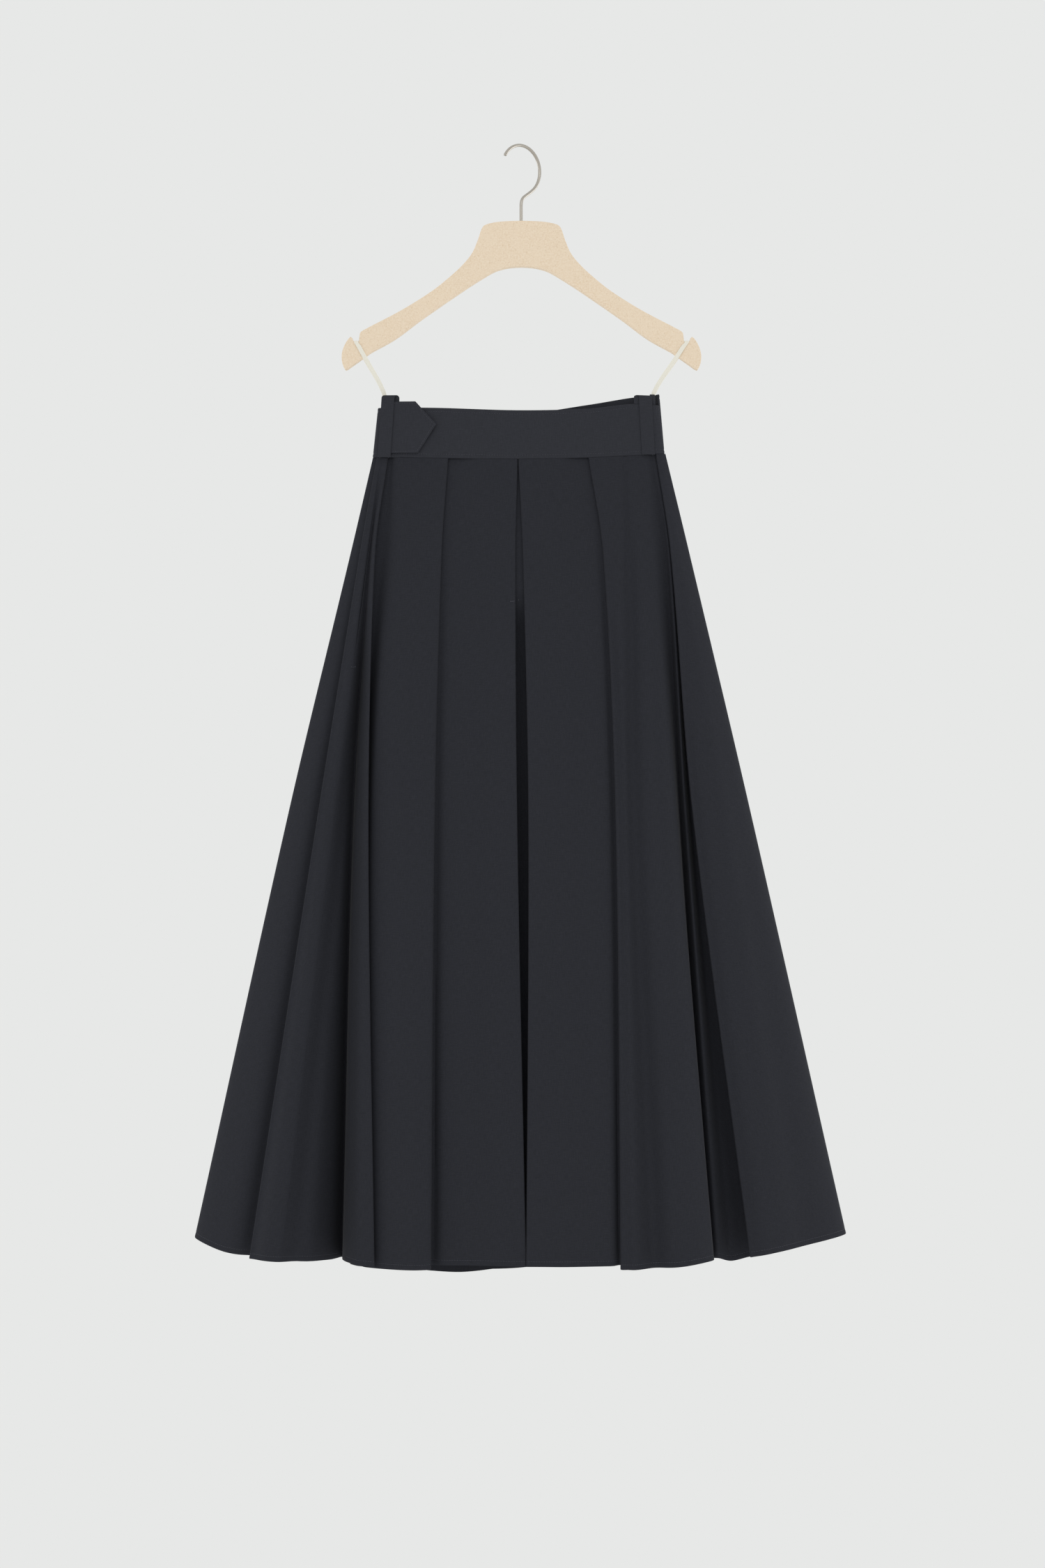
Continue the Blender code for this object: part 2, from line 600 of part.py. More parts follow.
def make_hanger(look):
    """The hanger's flat body with rounded edges and a hole for the hook's stem."""
    mesh = bmesh.new()
    half = HANGER_THICKNESS / 2
    loop = []
    for out, z in hanger_outline():
        loop.append(mesh.verts.new(Vector((HANGER_CENTRE_X + out, -half, z)) * MM))
    face = mesh.faces.new(loop)
    pulled = bmesh.ops.extrude_face_region(mesh, geom=[face])
    moved = [v for v in pulled["geom"] if isinstance(v, bmesh.types.BMVert)]
    bmesh.ops.translate(mesh, verts=moved, vec=Vector((0, HANGER_THICKNESS * MM, 0)))
    body = finished("hanger_body", mesh, look)
    rounding = body.modifiers.new("rounded edges", "BEVEL")
    rounding.width = HANGER_EDGE * MM
    rounding.segments = 2
    rounding.limit_method = "ANGLE"
    rounding.angle_limit = math.radians(86)
    drill = hole_cutter()
    cut = body.modifiers.new("hook hole", "BOOLEAN")
    cut.operation = "DIFFERENCE"
    cut.object = drill
    return body


def hole_cutter():
    mesh = bmesh.new()
    radius = (HOOK_WIRE + HOOK_CLEARANCE) * MM
    depth = 2 * HOOK_HOLE_DEPTH * MM
    bmesh.ops.create_cone(
        mesh, cap_ends=True, segments=WIRE_SIDES, radius1=radius, radius2=radius, depth=depth
    )
    data = bpy.data.meshes.new("hook_hole_cutter")
    mesh.to_mesh(data)
    mesh.free()
    cutter = bpy.data.objects.new("hook_hole_cutter", data)
    cutter.location = (0, 0, HANGER_TOP[0].z * MM)
    cutter.hide_render = True
    cutter.display_type = "WIRE"
    bpy.context.scene.collection.objects.link(cutter)
    return cutter


def hook_line():
    """The middle of the hook's wire in its own plane, as distance along the plane and height."""
    centre_z = HOOK_WIRE - HOOK_RADIUS
    points = []
    for k in range(HOOK_STEPS + 1):
        angle = HOOK_TIP_ANGLE + (HOOK_LEAVE_ANGLE - HOOK_TIP_ANGLE) * k / HOOK_STEPS
        round_arm = Vector((math.cos(angle), math.sin(angle))) * HOOK_RADIUS
        points.append(Vector((round_arm.x, centre_z + round_arm.y)))
    leave = points[-1]
    tangent = Vector((math.sin(HOOK_LEAVE_ANGLE), -math.cos(HOOK_LEAVE_ANGLE)))
    neck = Vector((0.0, leave.y - HOOK_NECK_DROP))
    for k in range(1, HOOK_NECK_STEPS + 1):
        s = k / HOOK_NECK_STEPS
        a = leave * (1 - s) ** 3
        b = (leave + tangent * HOOK_LEAVE_PULL) * (3 * s * (1 - s) ** 2)
        c = (neck + Vector((0.0, HOOK_NECK_PULL))) * (3 * s * s * (1 - s))
        points.append(a + b + c + neck * s**3)
    foot = HANGER_TOP[0].z - HOOK_HOLE_DEPTH + HOOK_CLEARANCE
    points.append(Vector((0.0, foot)))
    return points


def make_hook(look):
    """The hook: round wire in a level-turned plane, its tip to the front left, cut square at both ends."""
    across = Vector((math.cos(HOOK_TURN), math.sin(HOOK_TURN), 0))
    up = Vector((0, 0, 1))
    side = across.cross(up)
    line = hook_line()
    mesh = bmesh.new()
    rings = []
    for i, here in enumerate(line):
        ahead = line[min(i + 1, len(line) - 1)] - line[max(i - 1, 0)]
        normal = Vector((-ahead.y, ahead.x)).normalized()
        centre = across * here.x + up * here.y
        out = across * normal.x + up * normal.y
        ring = []
        for k in range(WIRE_SIDES):
            angle = 2 * math.pi * k / WIRE_SIDES
            way = out * math.cos(angle) + side * math.sin(angle)
            ring.append(mesh.verts.new((centre + way * HOOK_WIRE) * MM))
        rings.append(ring)
    for one, two in zip(rings, rings[1:]):
        for k in range(WIRE_SIDES):
            mesh.faces.new((one[k], two[k], two[k - 1], one[k - 1]))
    mesh.faces.new(rings[0])
    mesh.faces.new(rings[-1])
    return finished("hanger_hook", mesh, look)


def main():
    for old in list(bpy.data.objects):
        bpy.data.objects.remove(old, do_unlink=True)
    cloth = material("navy cotton twill", (0.026, 0.028, 0.033), 0.85)
    band_cloth = material("navy waistband cloth", (0.032, 0.034, 0.04), 0.85)
    tape = material("ivory cotton tape", (0.76, 0.76, 0.66), 0.8)
    wood = material("pressed wood", (0.78, 0.63, 0.46), 0.7)
    steel = material("brushed nickel wire", (0.55, 0.53, 0.5), 0.35, 1.0)
    make_skirt(cloth)
    make_band("waistband_front", -1, band_cloth)
    make_band("waistband_back", 1, band_cloth)
    make_tab(band_cloth)
    over_tab = TAB + SEAM + CARRIER_SLACK
    make_carrier("carrier_left", CARRIER_LEFT_TOP_X, CARRIER_LEFT_BOTTOM_X, over_tab, band_cloth)
    make_carrier("carrier_right", CARRIER_RIGHT_TOP_X, CARRIER_RIGHT_BOTTOM_X, 0.0, band_cloth)
    make_tape("hanging_loop_left", -1, TAPE_LEFT_FOOT_X, tape)
    make_tape("hanging_loop_right", 1, TAPE_RIGHT_FOOT_X, tape)
    make_hanger(wood)
    make_hook(steel)


main()
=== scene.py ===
# %% [markdown]
# # A pleated maxi skirt on its hanger
#
# The real object is a long navy cotton skirt. Pressed pleats hang from a topstitched waistband, a pointed
# belt end lies on the band at the left, and two ivory tape loops hold it in the notches of a flat hanger of
# pressed wood with a nickel wire hook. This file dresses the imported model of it, piece by piece. Lengths are
# in millimetres until a mesh is made.

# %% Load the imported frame
import math
from collections import namedtuple

import bmesh
import bpy
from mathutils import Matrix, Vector, noise


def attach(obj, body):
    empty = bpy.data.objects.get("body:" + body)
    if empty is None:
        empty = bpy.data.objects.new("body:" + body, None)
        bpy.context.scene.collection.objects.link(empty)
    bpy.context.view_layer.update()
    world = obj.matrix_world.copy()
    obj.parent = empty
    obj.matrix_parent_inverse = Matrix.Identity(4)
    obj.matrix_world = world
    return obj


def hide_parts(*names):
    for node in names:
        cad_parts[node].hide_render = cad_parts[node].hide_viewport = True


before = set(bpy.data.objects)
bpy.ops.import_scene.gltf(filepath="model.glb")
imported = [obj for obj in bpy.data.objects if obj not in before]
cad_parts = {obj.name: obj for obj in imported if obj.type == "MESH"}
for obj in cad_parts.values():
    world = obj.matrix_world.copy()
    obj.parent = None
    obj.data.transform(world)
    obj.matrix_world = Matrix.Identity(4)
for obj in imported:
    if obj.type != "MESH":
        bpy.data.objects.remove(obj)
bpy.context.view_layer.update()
MM = 0.001

# %% [markdown]
# ## Camera
#
# The photograph looks straight at the skirt from chest height, far enough away that its sides hardly
# converge. A level camera with a long lens at 4.5 m gives the same view: at the skirt's plane a pixel of the
# 1500 x 2250 image is 0.83 mm.

# %% Place the camera
IMAGE_HEIGHT_PX = 2250
MM_PER_PX = 0.83
CAMERA_DISTANCE = 4500.0
CAMERA_X = 1.66
CAMERA_Z = -758.6
SENSOR_HEIGHT = 36.0


def add_object(name, data):
    """A new object in the scene."""
    made = bpy.data.objects.new(name, data)
    bpy.context.scene.collection.objects.link(made)
    return made


camera_data = bpy.data.cameras.new("camera")
camera_data.sensor_fit = "VERTICAL"
camera_data.sensor_height = SENSOR_HEIGHT
camera_data.lens = SENSOR_HEIGHT * CAMERA_DISTANCE / (IMAGE_HEIGHT_PX * MM_PER_PX)
camera = add_object("camera", camera_data)
camera.location = (CAMERA_X * MM, -CAMERA_DISTANCE * MM, CAMERA_Z * MM)
camera.rotation_euler = (math.radians(90), 0, 0)
bpy.context.scene.camera = camera
print("lens, mm:", round(camera_data.lens, 1))

# %% [markdown]
# ## Colours and nodes
#
# Colours are noted as sRGB hex values, as a paint program shows them, and turned to the linear values that
# the shader needs. One small helper sets or links a node's inputs, one adds a node, and one starts a material
# from a colour.


# %% Colour and node helpers
def linear(code):
    """An sRGB hex colour as linear red, green, blue and alpha."""
    parts = [int(code[i : i + 2], 16) / 255 for i in (0, 2, 4)]
    return tuple(p / 12.92 if p <= 0.04045 else ((p + 0.055) / 1.055) ** 2.4 for p in parts) + (1.0,)


def fill(node, inputs):
    """Sets a node's inputs to values, or links them to sockets."""
    for name, value in inputs.items():
        if isinstance(value, bpy.types.NodeSocket):
            node.id_data.links.new(value, node.inputs[name])
        else:
            node.inputs[name].default_value = value


def add_node(tree, kind, inputs=None, **settings):
    """A new node with its settings, and its inputs set or linked."""
    node = tree.nodes.new(kind)
    for name, value in settings.items():
        setattr(node, name, value)
    fill(node, inputs or {})
    return node


def plain_look(name, colour, rough, metallic=0.0):
    """A material of one colour, roughness and metallic value, to add nodes to."""
    look = bpy.data.materials.new(name)
    look.use_nodes = True
    shader = look.node_tree.nodes["Principled BSDF"]
    fill(shader, {"Base Color": linear(colour), "Roughness": rough, "Metallic": metallic})
    return look


print("navy in linear light:", [round(c, 4) for c in linear("2c2d32")])

# %% [markdown]
# ## Floor and light
#
# The photograph is lit softly: evenly from all round, more from the front left and above, and a little from
# the sides, where the cloth's outer edges glow. A pale world gives the even part and large area lights give
# the rest. The floor is low enough to stay below the picture. Colours are shown as they are, with the
# Standard view, so the cloth and the wood can be matched to the photograph by their sRGB values.

# %% Make the floor, the world and the lights
FLOOR_Z = -2.4
FLOOR_RADIUS = 3.0
AIM = Vector((0, 0, -0.8))
floor_mesh = bmesh.new()
bmesh.ops.create_circle(floor_mesh, cap_ends=True, segments=96, radius=FLOOR_RADIUS)
for vert in floor_mesh.verts:
    vert.co.z = FLOOR_Z
floor_data = bpy.data.meshes.new("floor")
floor_mesh.to_mesh(floor_data)
floor_mesh.free()
floor_data.materials.append(plain_look("pale matt floor", "ebebea", 0.9))
floor = add_object("floor", floor_data)

world = bpy.data.worlds.new("pale studio")
bpy.context.scene.world = world
bpy.context.scene.view_settings.view_transform = "Standard"
world.use_nodes = True
fill(world.node_tree.nodes["Background"], {"Color": linear("e7e8e7"), "Strength": 1.0})


def soft_light(name, place, size, power):
    """A square area light aimed at the middle of the skirt."""
    data = bpy.data.lights.new(name, "AREA")
    data.shape = "SQUARE"
    data.size = size
    data.energy = power
    lamp = add_object(name, data)
    lamp.location = place
    lamp.rotation_euler = (AIM - Vector(place)).to_track_quat("-Z", "Y").to_euler()
    return lamp


lights = [
    soft_light("front light, above left", (-0.6, -3.9, 1.3), 2.0, 12.0),
    soft_light("front light, right", (0.8, -3.8, 0.2), 2.4, 5.0),
    soft_light("side light, left", (-2.4, 0.7, -0.7), 1.5, 11.0),
    soft_light("side light, right", (2.4, 0.7, -0.7), 1.5, 15.0),
]
print("lights:", [lamp.name for lamp in lights])

# %% [markdown]
# ## Navy cotton twill
#
# The cloth is a firm mercerised cotton, woven in a fine twill and dyed navy. It is matt, with a faint heather
# where threads differ and a soft sheen where it turns away. The weave is drawn in the cloth's own
# measurements, which each piece carries in a UV map called weave, in millimetres: u across the cloth and v
# down it. The real thread pitch of about 0.4 mm is too fine to show, so it is drawn at 0.9 mm.


# %% The woven material
WARP_STRETCH = (1.1, 0.11, 1)
WEFT_STRETCH = (0.12, 1.2, 1)


def woven(name, thread, shade, pitch, slope, rough, sheen, depth):
    """A woven cloth: two thread colours, the ribs' pitch in mm and slope, roughness, sheen, relief in mm."""
    look = plain_look(name, thread, rough)
    tree = look.node_tree
    weave = add_node(tree, "ShaderNodeUVMap", uv_map="weave").outputs["UV"]
    turned = add_node(tree, "ShaderNodeMapping", {"Vector": weave, "Rotation": (0, 0, slope)})
    ribs = add_node(
        tree,
        "ShaderNodeTexWave",
        {
            "Vector": turned.outputs["Vector"],
            "Scale": math.pi / 10 / pitch,
            "Distortion": 0.6,
            "Detail": 1.0,
            "Detail Scale": 2.0,
        },
        wave_type="BANDS",
        bands_direction="X",
    ).outputs["Fac"]
    threads = {}
    for number, stretch in enumerate((WARP_STRETCH, WEFT_STRETCH)):
        drawn = add_node(tree, "ShaderNodeMapping", {"Vector": weave, "Scale": stretch}).outputs["Vector"]
        noisy = add_node(tree, "ShaderNodeTexNoise", {"Vector": drawn, "Scale": 1.0, "Detail": 2.0})
        threads[number] = noisy.outputs["Fac"]
    both = add_node(tree, "ShaderNodeMath", threads, operation="ADD").outputs[0]
    heather = add_node(tree, "ShaderNodeMapRange", {"Value": both, "From Min": 0.6, "From Max": 1.4})
    fine = add_node(tree, "ShaderNodeTexNoise", {"Vector": weave, "Scale": 0.9, "Detail": 3.0}).outputs["Fac"]
    mixed = add_node(tree, "ShaderNodeMath", {0: heather.outputs["Result"], 1: fine}, operation="MULTIPLY")
    tones = {0: mixed.outputs[0], 6: linear(shade), 7: linear(thread)}
    tone = add_node(tree, "ShaderNodeMix", tones, data_type="RGBA").outputs[2]
    height = add_node(tree, "ShaderNodeMath", {0: ribs, 1: fine}, operation="ADD").outputs[0]
    bump = add_node(tree, "ShaderNodeBump", {"Height": height, "Strength": 0.5, "Distance": depth * MM})
    soft = {"Specular IOR Level": 0.12, "Sheen Weight": sheen, "Sheen Roughness": 0.3}
    shader = tree.nodes["Principled BSDF"]
    fill(shader, {"Base Color": tone, "Normal": bump.outputs["Normal"]} | soft)
    return look


TWILL_SLOPE = math.radians(27)
twill = woven("navy mercerised cotton twill", "37383f", "292a2f", 0.9, TWILL_SLOPE, 0.95, 0.05, 0.07)
band_twill = woven("navy twill, interfaced", "3d3e45", "2f3035", 0.9, TWILL_SLOPE, 0.95, 0.06, 0.07)
print("cloth materials:", twill.name, "/", band_twill.name)

# %% [markdown]
# ## Sewing thread, cotton tape, pressed wood and nickel
#
# The thread is polyester in the cloth's colour, a little glossier than the cloth. The tape is unbleached
# cotton. The hanger is fibreboard moulded under heat: its skin is pale with fine darker fibres, and its
# cut edges are lighter. The hook is steel wire plated with satin nickel, drawn through a die, so its fine
# lines run along it.


# %% Sewing thread and tape
def twisted_thread():
    """Polyester thread: its twist is a fine slanted ripple along each stitch."""
    look = plain_look("navy polyester thread", "3a3b44", 0.6)
    tree = look.node_tree
    place = add_node(tree, "ShaderNodeTexCoord").outputs["Object"]
    ply = add_node(tree, "ShaderNodeTexNoise", {"Vector": place, "Scale": 1500.0, "Detail": 1.0})
    tones = {0: ply.outputs["Fac"], 6: linear("33343c"), 7: linear("454650")}
    tone = add_node(tree, "ShaderNodeMix", tones, data_type="RGBA").outputs[2]
    fill(tree.nodes["Principled BSDF"], {"Base Color": tone})
    return look


thread_look = twisted_thread()
tape_look = woven("unbleached cotton tape", "fbf8ee", "f0ecdf", 0.7, 0.0, 0.8, 0.1, 0.12)
print("thread and tape:", thread_look.name, "/", tape_look.name)


# %% Pressed wood
def pressed_wood_look():
    """Moulded fibreboard: pale skin with fibres about 2 mm long, flecks and a faint mottle."""
    look = plain_look("pale moulded fibreboard", "f0dcc2", 0.62)
    tree = look.node_tree
    place = add_node(tree, "ShaderNodeTexCoord").outputs["Object"]
    fibres, mottle = (
        add_node(tree, "ShaderNodeTexNoise", {"Vector": place, "Scale": size, "Detail": fine}).outputs["Fac"]
        for size, fine in ((520.0, 4.0), (36.0, 3.0))
    )
    flecks = add_node(tree, "ShaderNodeTexVoronoi", {"Vector": place, "Scale": 330.0}).outputs["Distance"]
    fleck_range = {"Value": flecks, "From Min": 0.0, "From Max": 0.28, "To Min": 0.5, "To Max": 0.0}
    fleck = add_node(tree, "ShaderNodeMapRange", fleck_range).outputs["Result"]
    grain_range = {"Value": fibres, "From Min": 0.35, "From Max": 0.68}
    grain = add_node(tree, "ShaderNodeMapRange", grain_range).outputs["Result"]
    tone = linear("e6ceb0")
    for share, other in ((grain, "f7e6cf"), (mottle, "f2dfc6"), (fleck, "c9aa86")):
        tones = {0: share, 6: tone, 7: linear(other)}
        tone = add_node(tree, "ShaderNodeMix", tones, data_type="RGBA").outputs[2]
    bump = add_node(tree, "ShaderNodeBump", {"Height": fibres, "Strength": 0.35, "Distance": 0.12 * MM})
    fill(tree.nodes["Principled BSDF"], {"Base Color": tone, "Normal": bump.outputs["Normal"]})
    return look


wood_look = pressed_wood_look()
print("hanger:", wood_look.name)


# %% Nickel wire
def nickel_look():
    """Satin nickel wire: a metal's own reflection, roughened in fine lines."""
    look = plain_look("satin nickel-plated wire", "b9b3aa", 0.32, 1.0)
    tree = look.node_tree
    lines = add_node(tree, "ShaderNodeUVMap", uv_map="weave").outputs["UV"]
    drawn = add_node(tree, "ShaderNodeMapping", {"Vector": lines, "Scale": (9.0, 0.15, 1)}).outputs["Vector"]
    fine = {"Vector": drawn, "Scale": 1.0, "Detail": 4.0}
    scratch = add_node(tree, "ShaderNodeTexNoise", fine).outputs["Fac"]
    rough_range = {"Value": scratch, "From Min": 0.3, "From Max": 0.7, "To Min": 0.24, "To Max": 0.42}
    rough = add_node(tree, "ShaderNodeMapRange", rough_range).outputs["Result"]
    bump = add_node(tree, "ShaderNodeBump", {"Height": scratch, "Strength": 0.3, "Distance": 0.02 * MM})
    fill(tree.nodes["Principled BSDF"], {"Roughness": rough, "Normal": bump.outputs["Normal"]})
    return look


nickel = nickel_look()
print("hook:", nickel.name)

# %% [markdown]
# ## The skirt's folds
#
# Every pleat is one or two rows of a table. Each row is a line of the cloth from the waist to the hem: where
# it stands across at the waist, hip, knee and hem, how far to the front or back, and its length. A pressed
# fold has a nose that points one way and takes the cloth a layer in or out. Following the rows in order goes
# once round the skirt, so the rows are the garment's plan at any height. The part's solids are made from the
# same table, with a few of its rows set a few millimetres apart from these.

# %% The front's folds
SEAM = 0.3
SEWN = 0.03
CLOTH = 1.0
LAYER = 1.9
FOLD_ROUND = 0.95
CORNER_LIMIT = 0.62
WAIST_TUCK = 0.2
X_LEVELS = (0.0, 0.12, 0.45, 1.0)
Y_LEVELS = (0.0, 0.45, 1.0)

Fold = namedtuple("Fold", "name turn step side layer x_waist x_hip x_knee x_hem y_mid y_hem length parts")


def folds(*rows):
    return tuple(Fold(*row) for row in rows)


FRONT_LEFT = folds(
    ("side seam", 0, 0, -1, 0, -166.6, -181.6, -221, -281.5, -40, -86, 957, 2),
    ("side valley", 0, 0, -1, 0, -164.2, -179.2, -201, -215, -30, -46, 952, 2),
    ("side shoulder", 0, 0, -1, 0, -161.9, -176.9, -195.5, -207, -44, -94, 953, 2),
    ("side fold", 1, 1, -1, 0, -159.5, -174.5, -181, -172, -54, -104, 955, 3),
    ("side underfold", -1, 1, -1, 1, -162.4, -176.6, -193.5, -199, -30, -86, 955, 2),
    ("side gap", 0, 0, -1, 2, -155, -165.5, -187, -190, -26, -80, 955, 2),
    ("second panel edge", 0, 0, -1, 0.1, -150, -155, -174, -180, -47, -88, 956, 3),
    ("second panel", 0, 0, -1, 0, -117.5, -124.5, -141, -138, -60, -117, 957, 3),
    ("front fold", 1, 1, -1, 0, -88, -95.5, -103, -106, -62, -126, 956, 3),
    ("front underfold", -1, 1, -1, 1, -119, -130, -143, -147, -52, -106, 953, 3),
    ("first panel edge", 0, 0, -1, 1.9, -80, -90, -97, -98, -53, -108, 951, 2),
    ("first panel", 0, 0, -1, 0.1, -45, -48, -51, -46, -56, -112, 950, 2),
    ("centre fold", 1, 1, -1, 0, -5.5, -8, -6, 4.5, -56, -114, 951, 3),
    ("centre underfold", -1, 1, -1, 1, -38, -41, -46, -45.5, -40, -84, 948, 3),
)
FRONT_RIGHT = folds(
    ("front centre", 0, 0, -1, 2, -3.5, -3.5, 1, 6, -26, -60, 945, 3),
    ("centre underfold", 1, -1, -1, 2, 31, 36, 48, 60, -40, -84, 948, 3),
    ("centre fold", -1, -1, -1, 1, -2, 3.5, 10, 7.5, -56, -114, 951, 2),
    ("first panel", 0, 0, -1, 0.1, 42, 50, 58, 64, -57, -114, 952, 2),
    ("first panel edge", 0, 0, -1, 1.9, 75, 89, 103, 108, -54, -110, 953, 3),
    ("front underfold", 1, -1, -1, 2, 116.5, 130, 146, 157, -51, -107, 954, 3),
    ("front fold", -1, -1, -1, 1, 81.5, 98.5, 112.5, 117, -60, -119, 958, 3),
    ("second panel trough", 0, 0, -1, 0, 115, 125.5, 130, 151.5, -60, -118, 959, 2),
    ("second panel crest", 0, 0, -1, 0.5, 138.5, 143.5, 156, 191, -58, -113, 958, 2),
    ("second panel edge", 0, 0, -1, 1.2, 150.5, 157, 180.5, 223.5, -46, -94, 954, 2),
)
print("fold lines in front:", len(FRONT_LEFT) + len(FRONT_RIGHT))

# %% The back's folds, and the side panels that come forward
BACK_RIGHT = folds(
    ("side seam", 0, 0, -1, 2, 155.5, 171.5, 188.5, 221, -14, -44, 954, 2),
    ("valley ridge", 0, 0, -1, 2, 158.5, 175.5, 195, 232, -28, -56, 954, 2),
    ("second valley", 0, 0, -1, 2, 162, 180, 202.5, 250, -15, -38, 960, 2),
    ("side underfold", 1, -1, -1, 2, 166, 186, 225, 290, -22, -50, 955, 2),
    ("side fold", -1, -1, -1, 1, 161.5, 178.5, 204, 270, -38, -78, 956, 3),
    ("side panel", 0, 0, -1, 0, 167, 188.5, 245, 326, -27, -52, 953, 3),
    ("silhouette", 0, 0, 0, 0, 171.5, 198.5, 271, 386.5, 0, 0, 953, 3),
    ("side back panel", 0, 0, 1, 0, 166, 190, 250.5, 350, 24, 48, 954, 2),
    ("side back fold", -1, 1, 1, 0, 149, 167, 222, 300, 42, 86, 956, 2),
    ("side back underfold", 1, 1, 1, 1, 155.5, 179, 238, 322, 24, 52, 956, 2),
    ("second back panel edge", 0, 0, 1, 1.9, 141.5, 157, 205, 276, 37, 78, 957, 2),
    ("second back panel", 0, 0, 1, 0, 122, 136, 172, 228, 44, 92, 960, 2),
    ("back fold", -1, 1, 1, 0, 82, 88, 100, 118, 52, 108, 962, 3),
    ("back underfold", 1, 1, 1, 1, 114, 124, 142, 164, 38, 82, 962, 3),
    ("first back panel edge", 0, 0, 1, 1.9, 77, 83, 95, 112, 46, 94, 963, 2),
    ("first back panel", 0, 0, 1, 0.1, 44, 46, 55, 67, 49, 101, 964, 2),
    ("back centre fold", -1, 1, 1, 0, 0.5, 2, 5, 9, 50, 104, 966, 3),
    ("back centre underfold", 1, 1, 1, 1, 34, 38, 48, 60, 36, 76, 966, 3),
)
BACK_LEFT = folds(
    ("back centre", 0, 0, 1, 2, -3, -3, -2, -1, 24, 54, 968, 3),
    ("back centre underfold", -1, -1, 1, 2, -40, -44, -52, -62, 36, 76, 974, 3),
    ("back centre fold", 1, -1, 1, 1, -6.5, -8, -9, -11, 50, 104, 976, 2),
    ("first back panel", 0, 0, 1, 0.1, -50, -53, -60, -69, 49, 101, 982, 2),
    ("first back panel edge", 0, 0, 1, 1.9, -83, -89, -102, -120, 46, 94, 980, 3),
    ("back underfold", -1, -1, 1, 2, -120, -130, -150, -172, 37, 80, 972, 3),
    ("back fold", 1, -1, 1, 1, -88, -94, -107, -126, 52, 108, 976, 3),
    ("second back panel", 0, 0, 1, 0, -126, -140, -178, -238, 41, 85, 964, 3),
    ("side back panel", 0, 0, 1, 0, -167, -190.5, -255.5, -352, 20, 42, 956, 3),
    ("silhouette", 0, 0, 0, 0, -176, -202, -275.5, -388.3, 0, 0, 952, 3),
    ("outer panel", 0, 0, -1, 1.2, -173.6, -197.5, -260.5, -350, -15, -36, 958, 3),
    ("outer underfold", 1, -1, -1, 2, -167.3, -184.5, -223.5, -288, -29, -57, 956, 3),
    ("outer fold", -1, -1, -1, 1, -170.5, -190, -239, -317.5, -38, -76, 959, 3),
)
PANELS = (
    ("skirt_front_left", FRONT_LEFT),
    ("skirt_front_right", FRONT_RIGHT),
    ("skirt_back_right", BACK_RIGHT),
    ("skirt_back_left", BACK_LEFT),
)
print("fold lines round the skirt:", sum(len(rows) for _, rows in PANELS))

# %% [markdown]
# ## The waistband's shape
#
# The waistband is a flattened tube. At u, from -1 at the left side to 1 at the right, the table gives the
# heights of its edges, front and back, and a smooth curve runs through them. Its depth is that of a lens
# with blunt ends. The skirt's waist hangs from the same curves.

# %% Waistband curves
BAND = 2.4
BAND_CENTRE_X = -2.9
BAND_HALF_BOTTOM = 172.7
BAND_HALF_TOP = 166.5
BAND_SIDE_DEPTH = 6.0
BAND_DEPTH_BOTTOM = 16.0
BAND_DEPTH_TOP = 12.0
BAND_ROUNDING = 24

BandEdge = namedtuple("BandEdge", "u bottom_front top_front bottom_back top_back")
BAND_EDGES = (
    BandEdge(-1.0, -370.0, -311.0, -370.0, -312.0),
    BandEdge(-0.6, -371.5, -311.5, -372.5, -315.0),
    BandEdge(0.0, -373.0, -314.6, -374.0, -317.0),
    BandEdge(0.5, -371.0, -312.5, -366.0, -306.0),
    BandEdge(0.8, -368.0, -307.0, -358.5, -298.0),
    BandEdge(1.0, -365.5, -308.0, -365.5, -294.5),
)


def between(values, levels, t):
    """The height at t of a smooth curve through values given at levels."""
    slopes = []
    for i in range(len(values)):
        low = max(i - 1, 0)
        high = min(i + 1, len(values) - 1)
        slopes.append((values[high] - values[low]) / (levels[high] - levels[low]))
    i = 0
    while i < len(levels) - 2 and t > levels[i + 1]:
        i += 1
    width = levels[i + 1] - levels[i]
    s = (t - levels[i]) / width
    rise = values[i + 1] - values[i]
    a = slopes[i] * width - rise
    b = rise - slopes[i + 1] * width
    return values[i] + s * rise + s * (1 - s) * (a * (1 - s) + b * s)


def band_edges(u, side):
    """Heights of the waistband's bottom and top edges at u, in front where side is below 0, else behind."""
    us = [row.u for row in BAND_EDGES]
    columns = ("bottom_front", "top_front") if side < 0 else ("bottom_back", "top_back")
    u = max(-1.0, min(1.0, u))
    return [between([getattr(row, column) for row in BAND_EDGES], us, u) for column in columns]


def band_half(h):
    return BAND_HALF_BOTTOM + (BAND_HALF_TOP - BAND_HALF_BOTTOM) * h


def band_u(x, h):
    return (x - BAND_CENTRE_X) / band_half(h)


def band_depth(u, h):
    """How far the waistband's middle surface stands from y = 0, at u and at h from its bottom to its top."""
    middle = BAND_DEPTH_BOTTOM + (BAND_DEPTH_TOP - BAND_DEPTH_BOTTOM) * h
    u = min(abs(u), 1.0)
    lens = BAND_SIDE_DEPTH + (middle - BAND_SIDE_DEPTH) * (1 - u * u)
    return lens * math.sqrt(1 - u**BAND_ROUNDING)


print("waist, flat, mm:", 2 * BAND_HALF_TOP, " depth at the middle, mm:", 2 * band_depth(0, 0))

# %% [markdown]
# ## From folds to rings of cloth
#
# At each height t the folds are placed and a smooth curve is drawn through them, which gives one closed ring
# of cloth seen from above. A pressed fold's nose is a half circle, so the cloth turns over at it as real
# cloth does. The table holds the large shape. Smaller dents, where the cloth eases between its pleats, are
# rows of a second table: soft troughs and ridges that move every layer at the same place together, so that
# no layer is pushed through another.

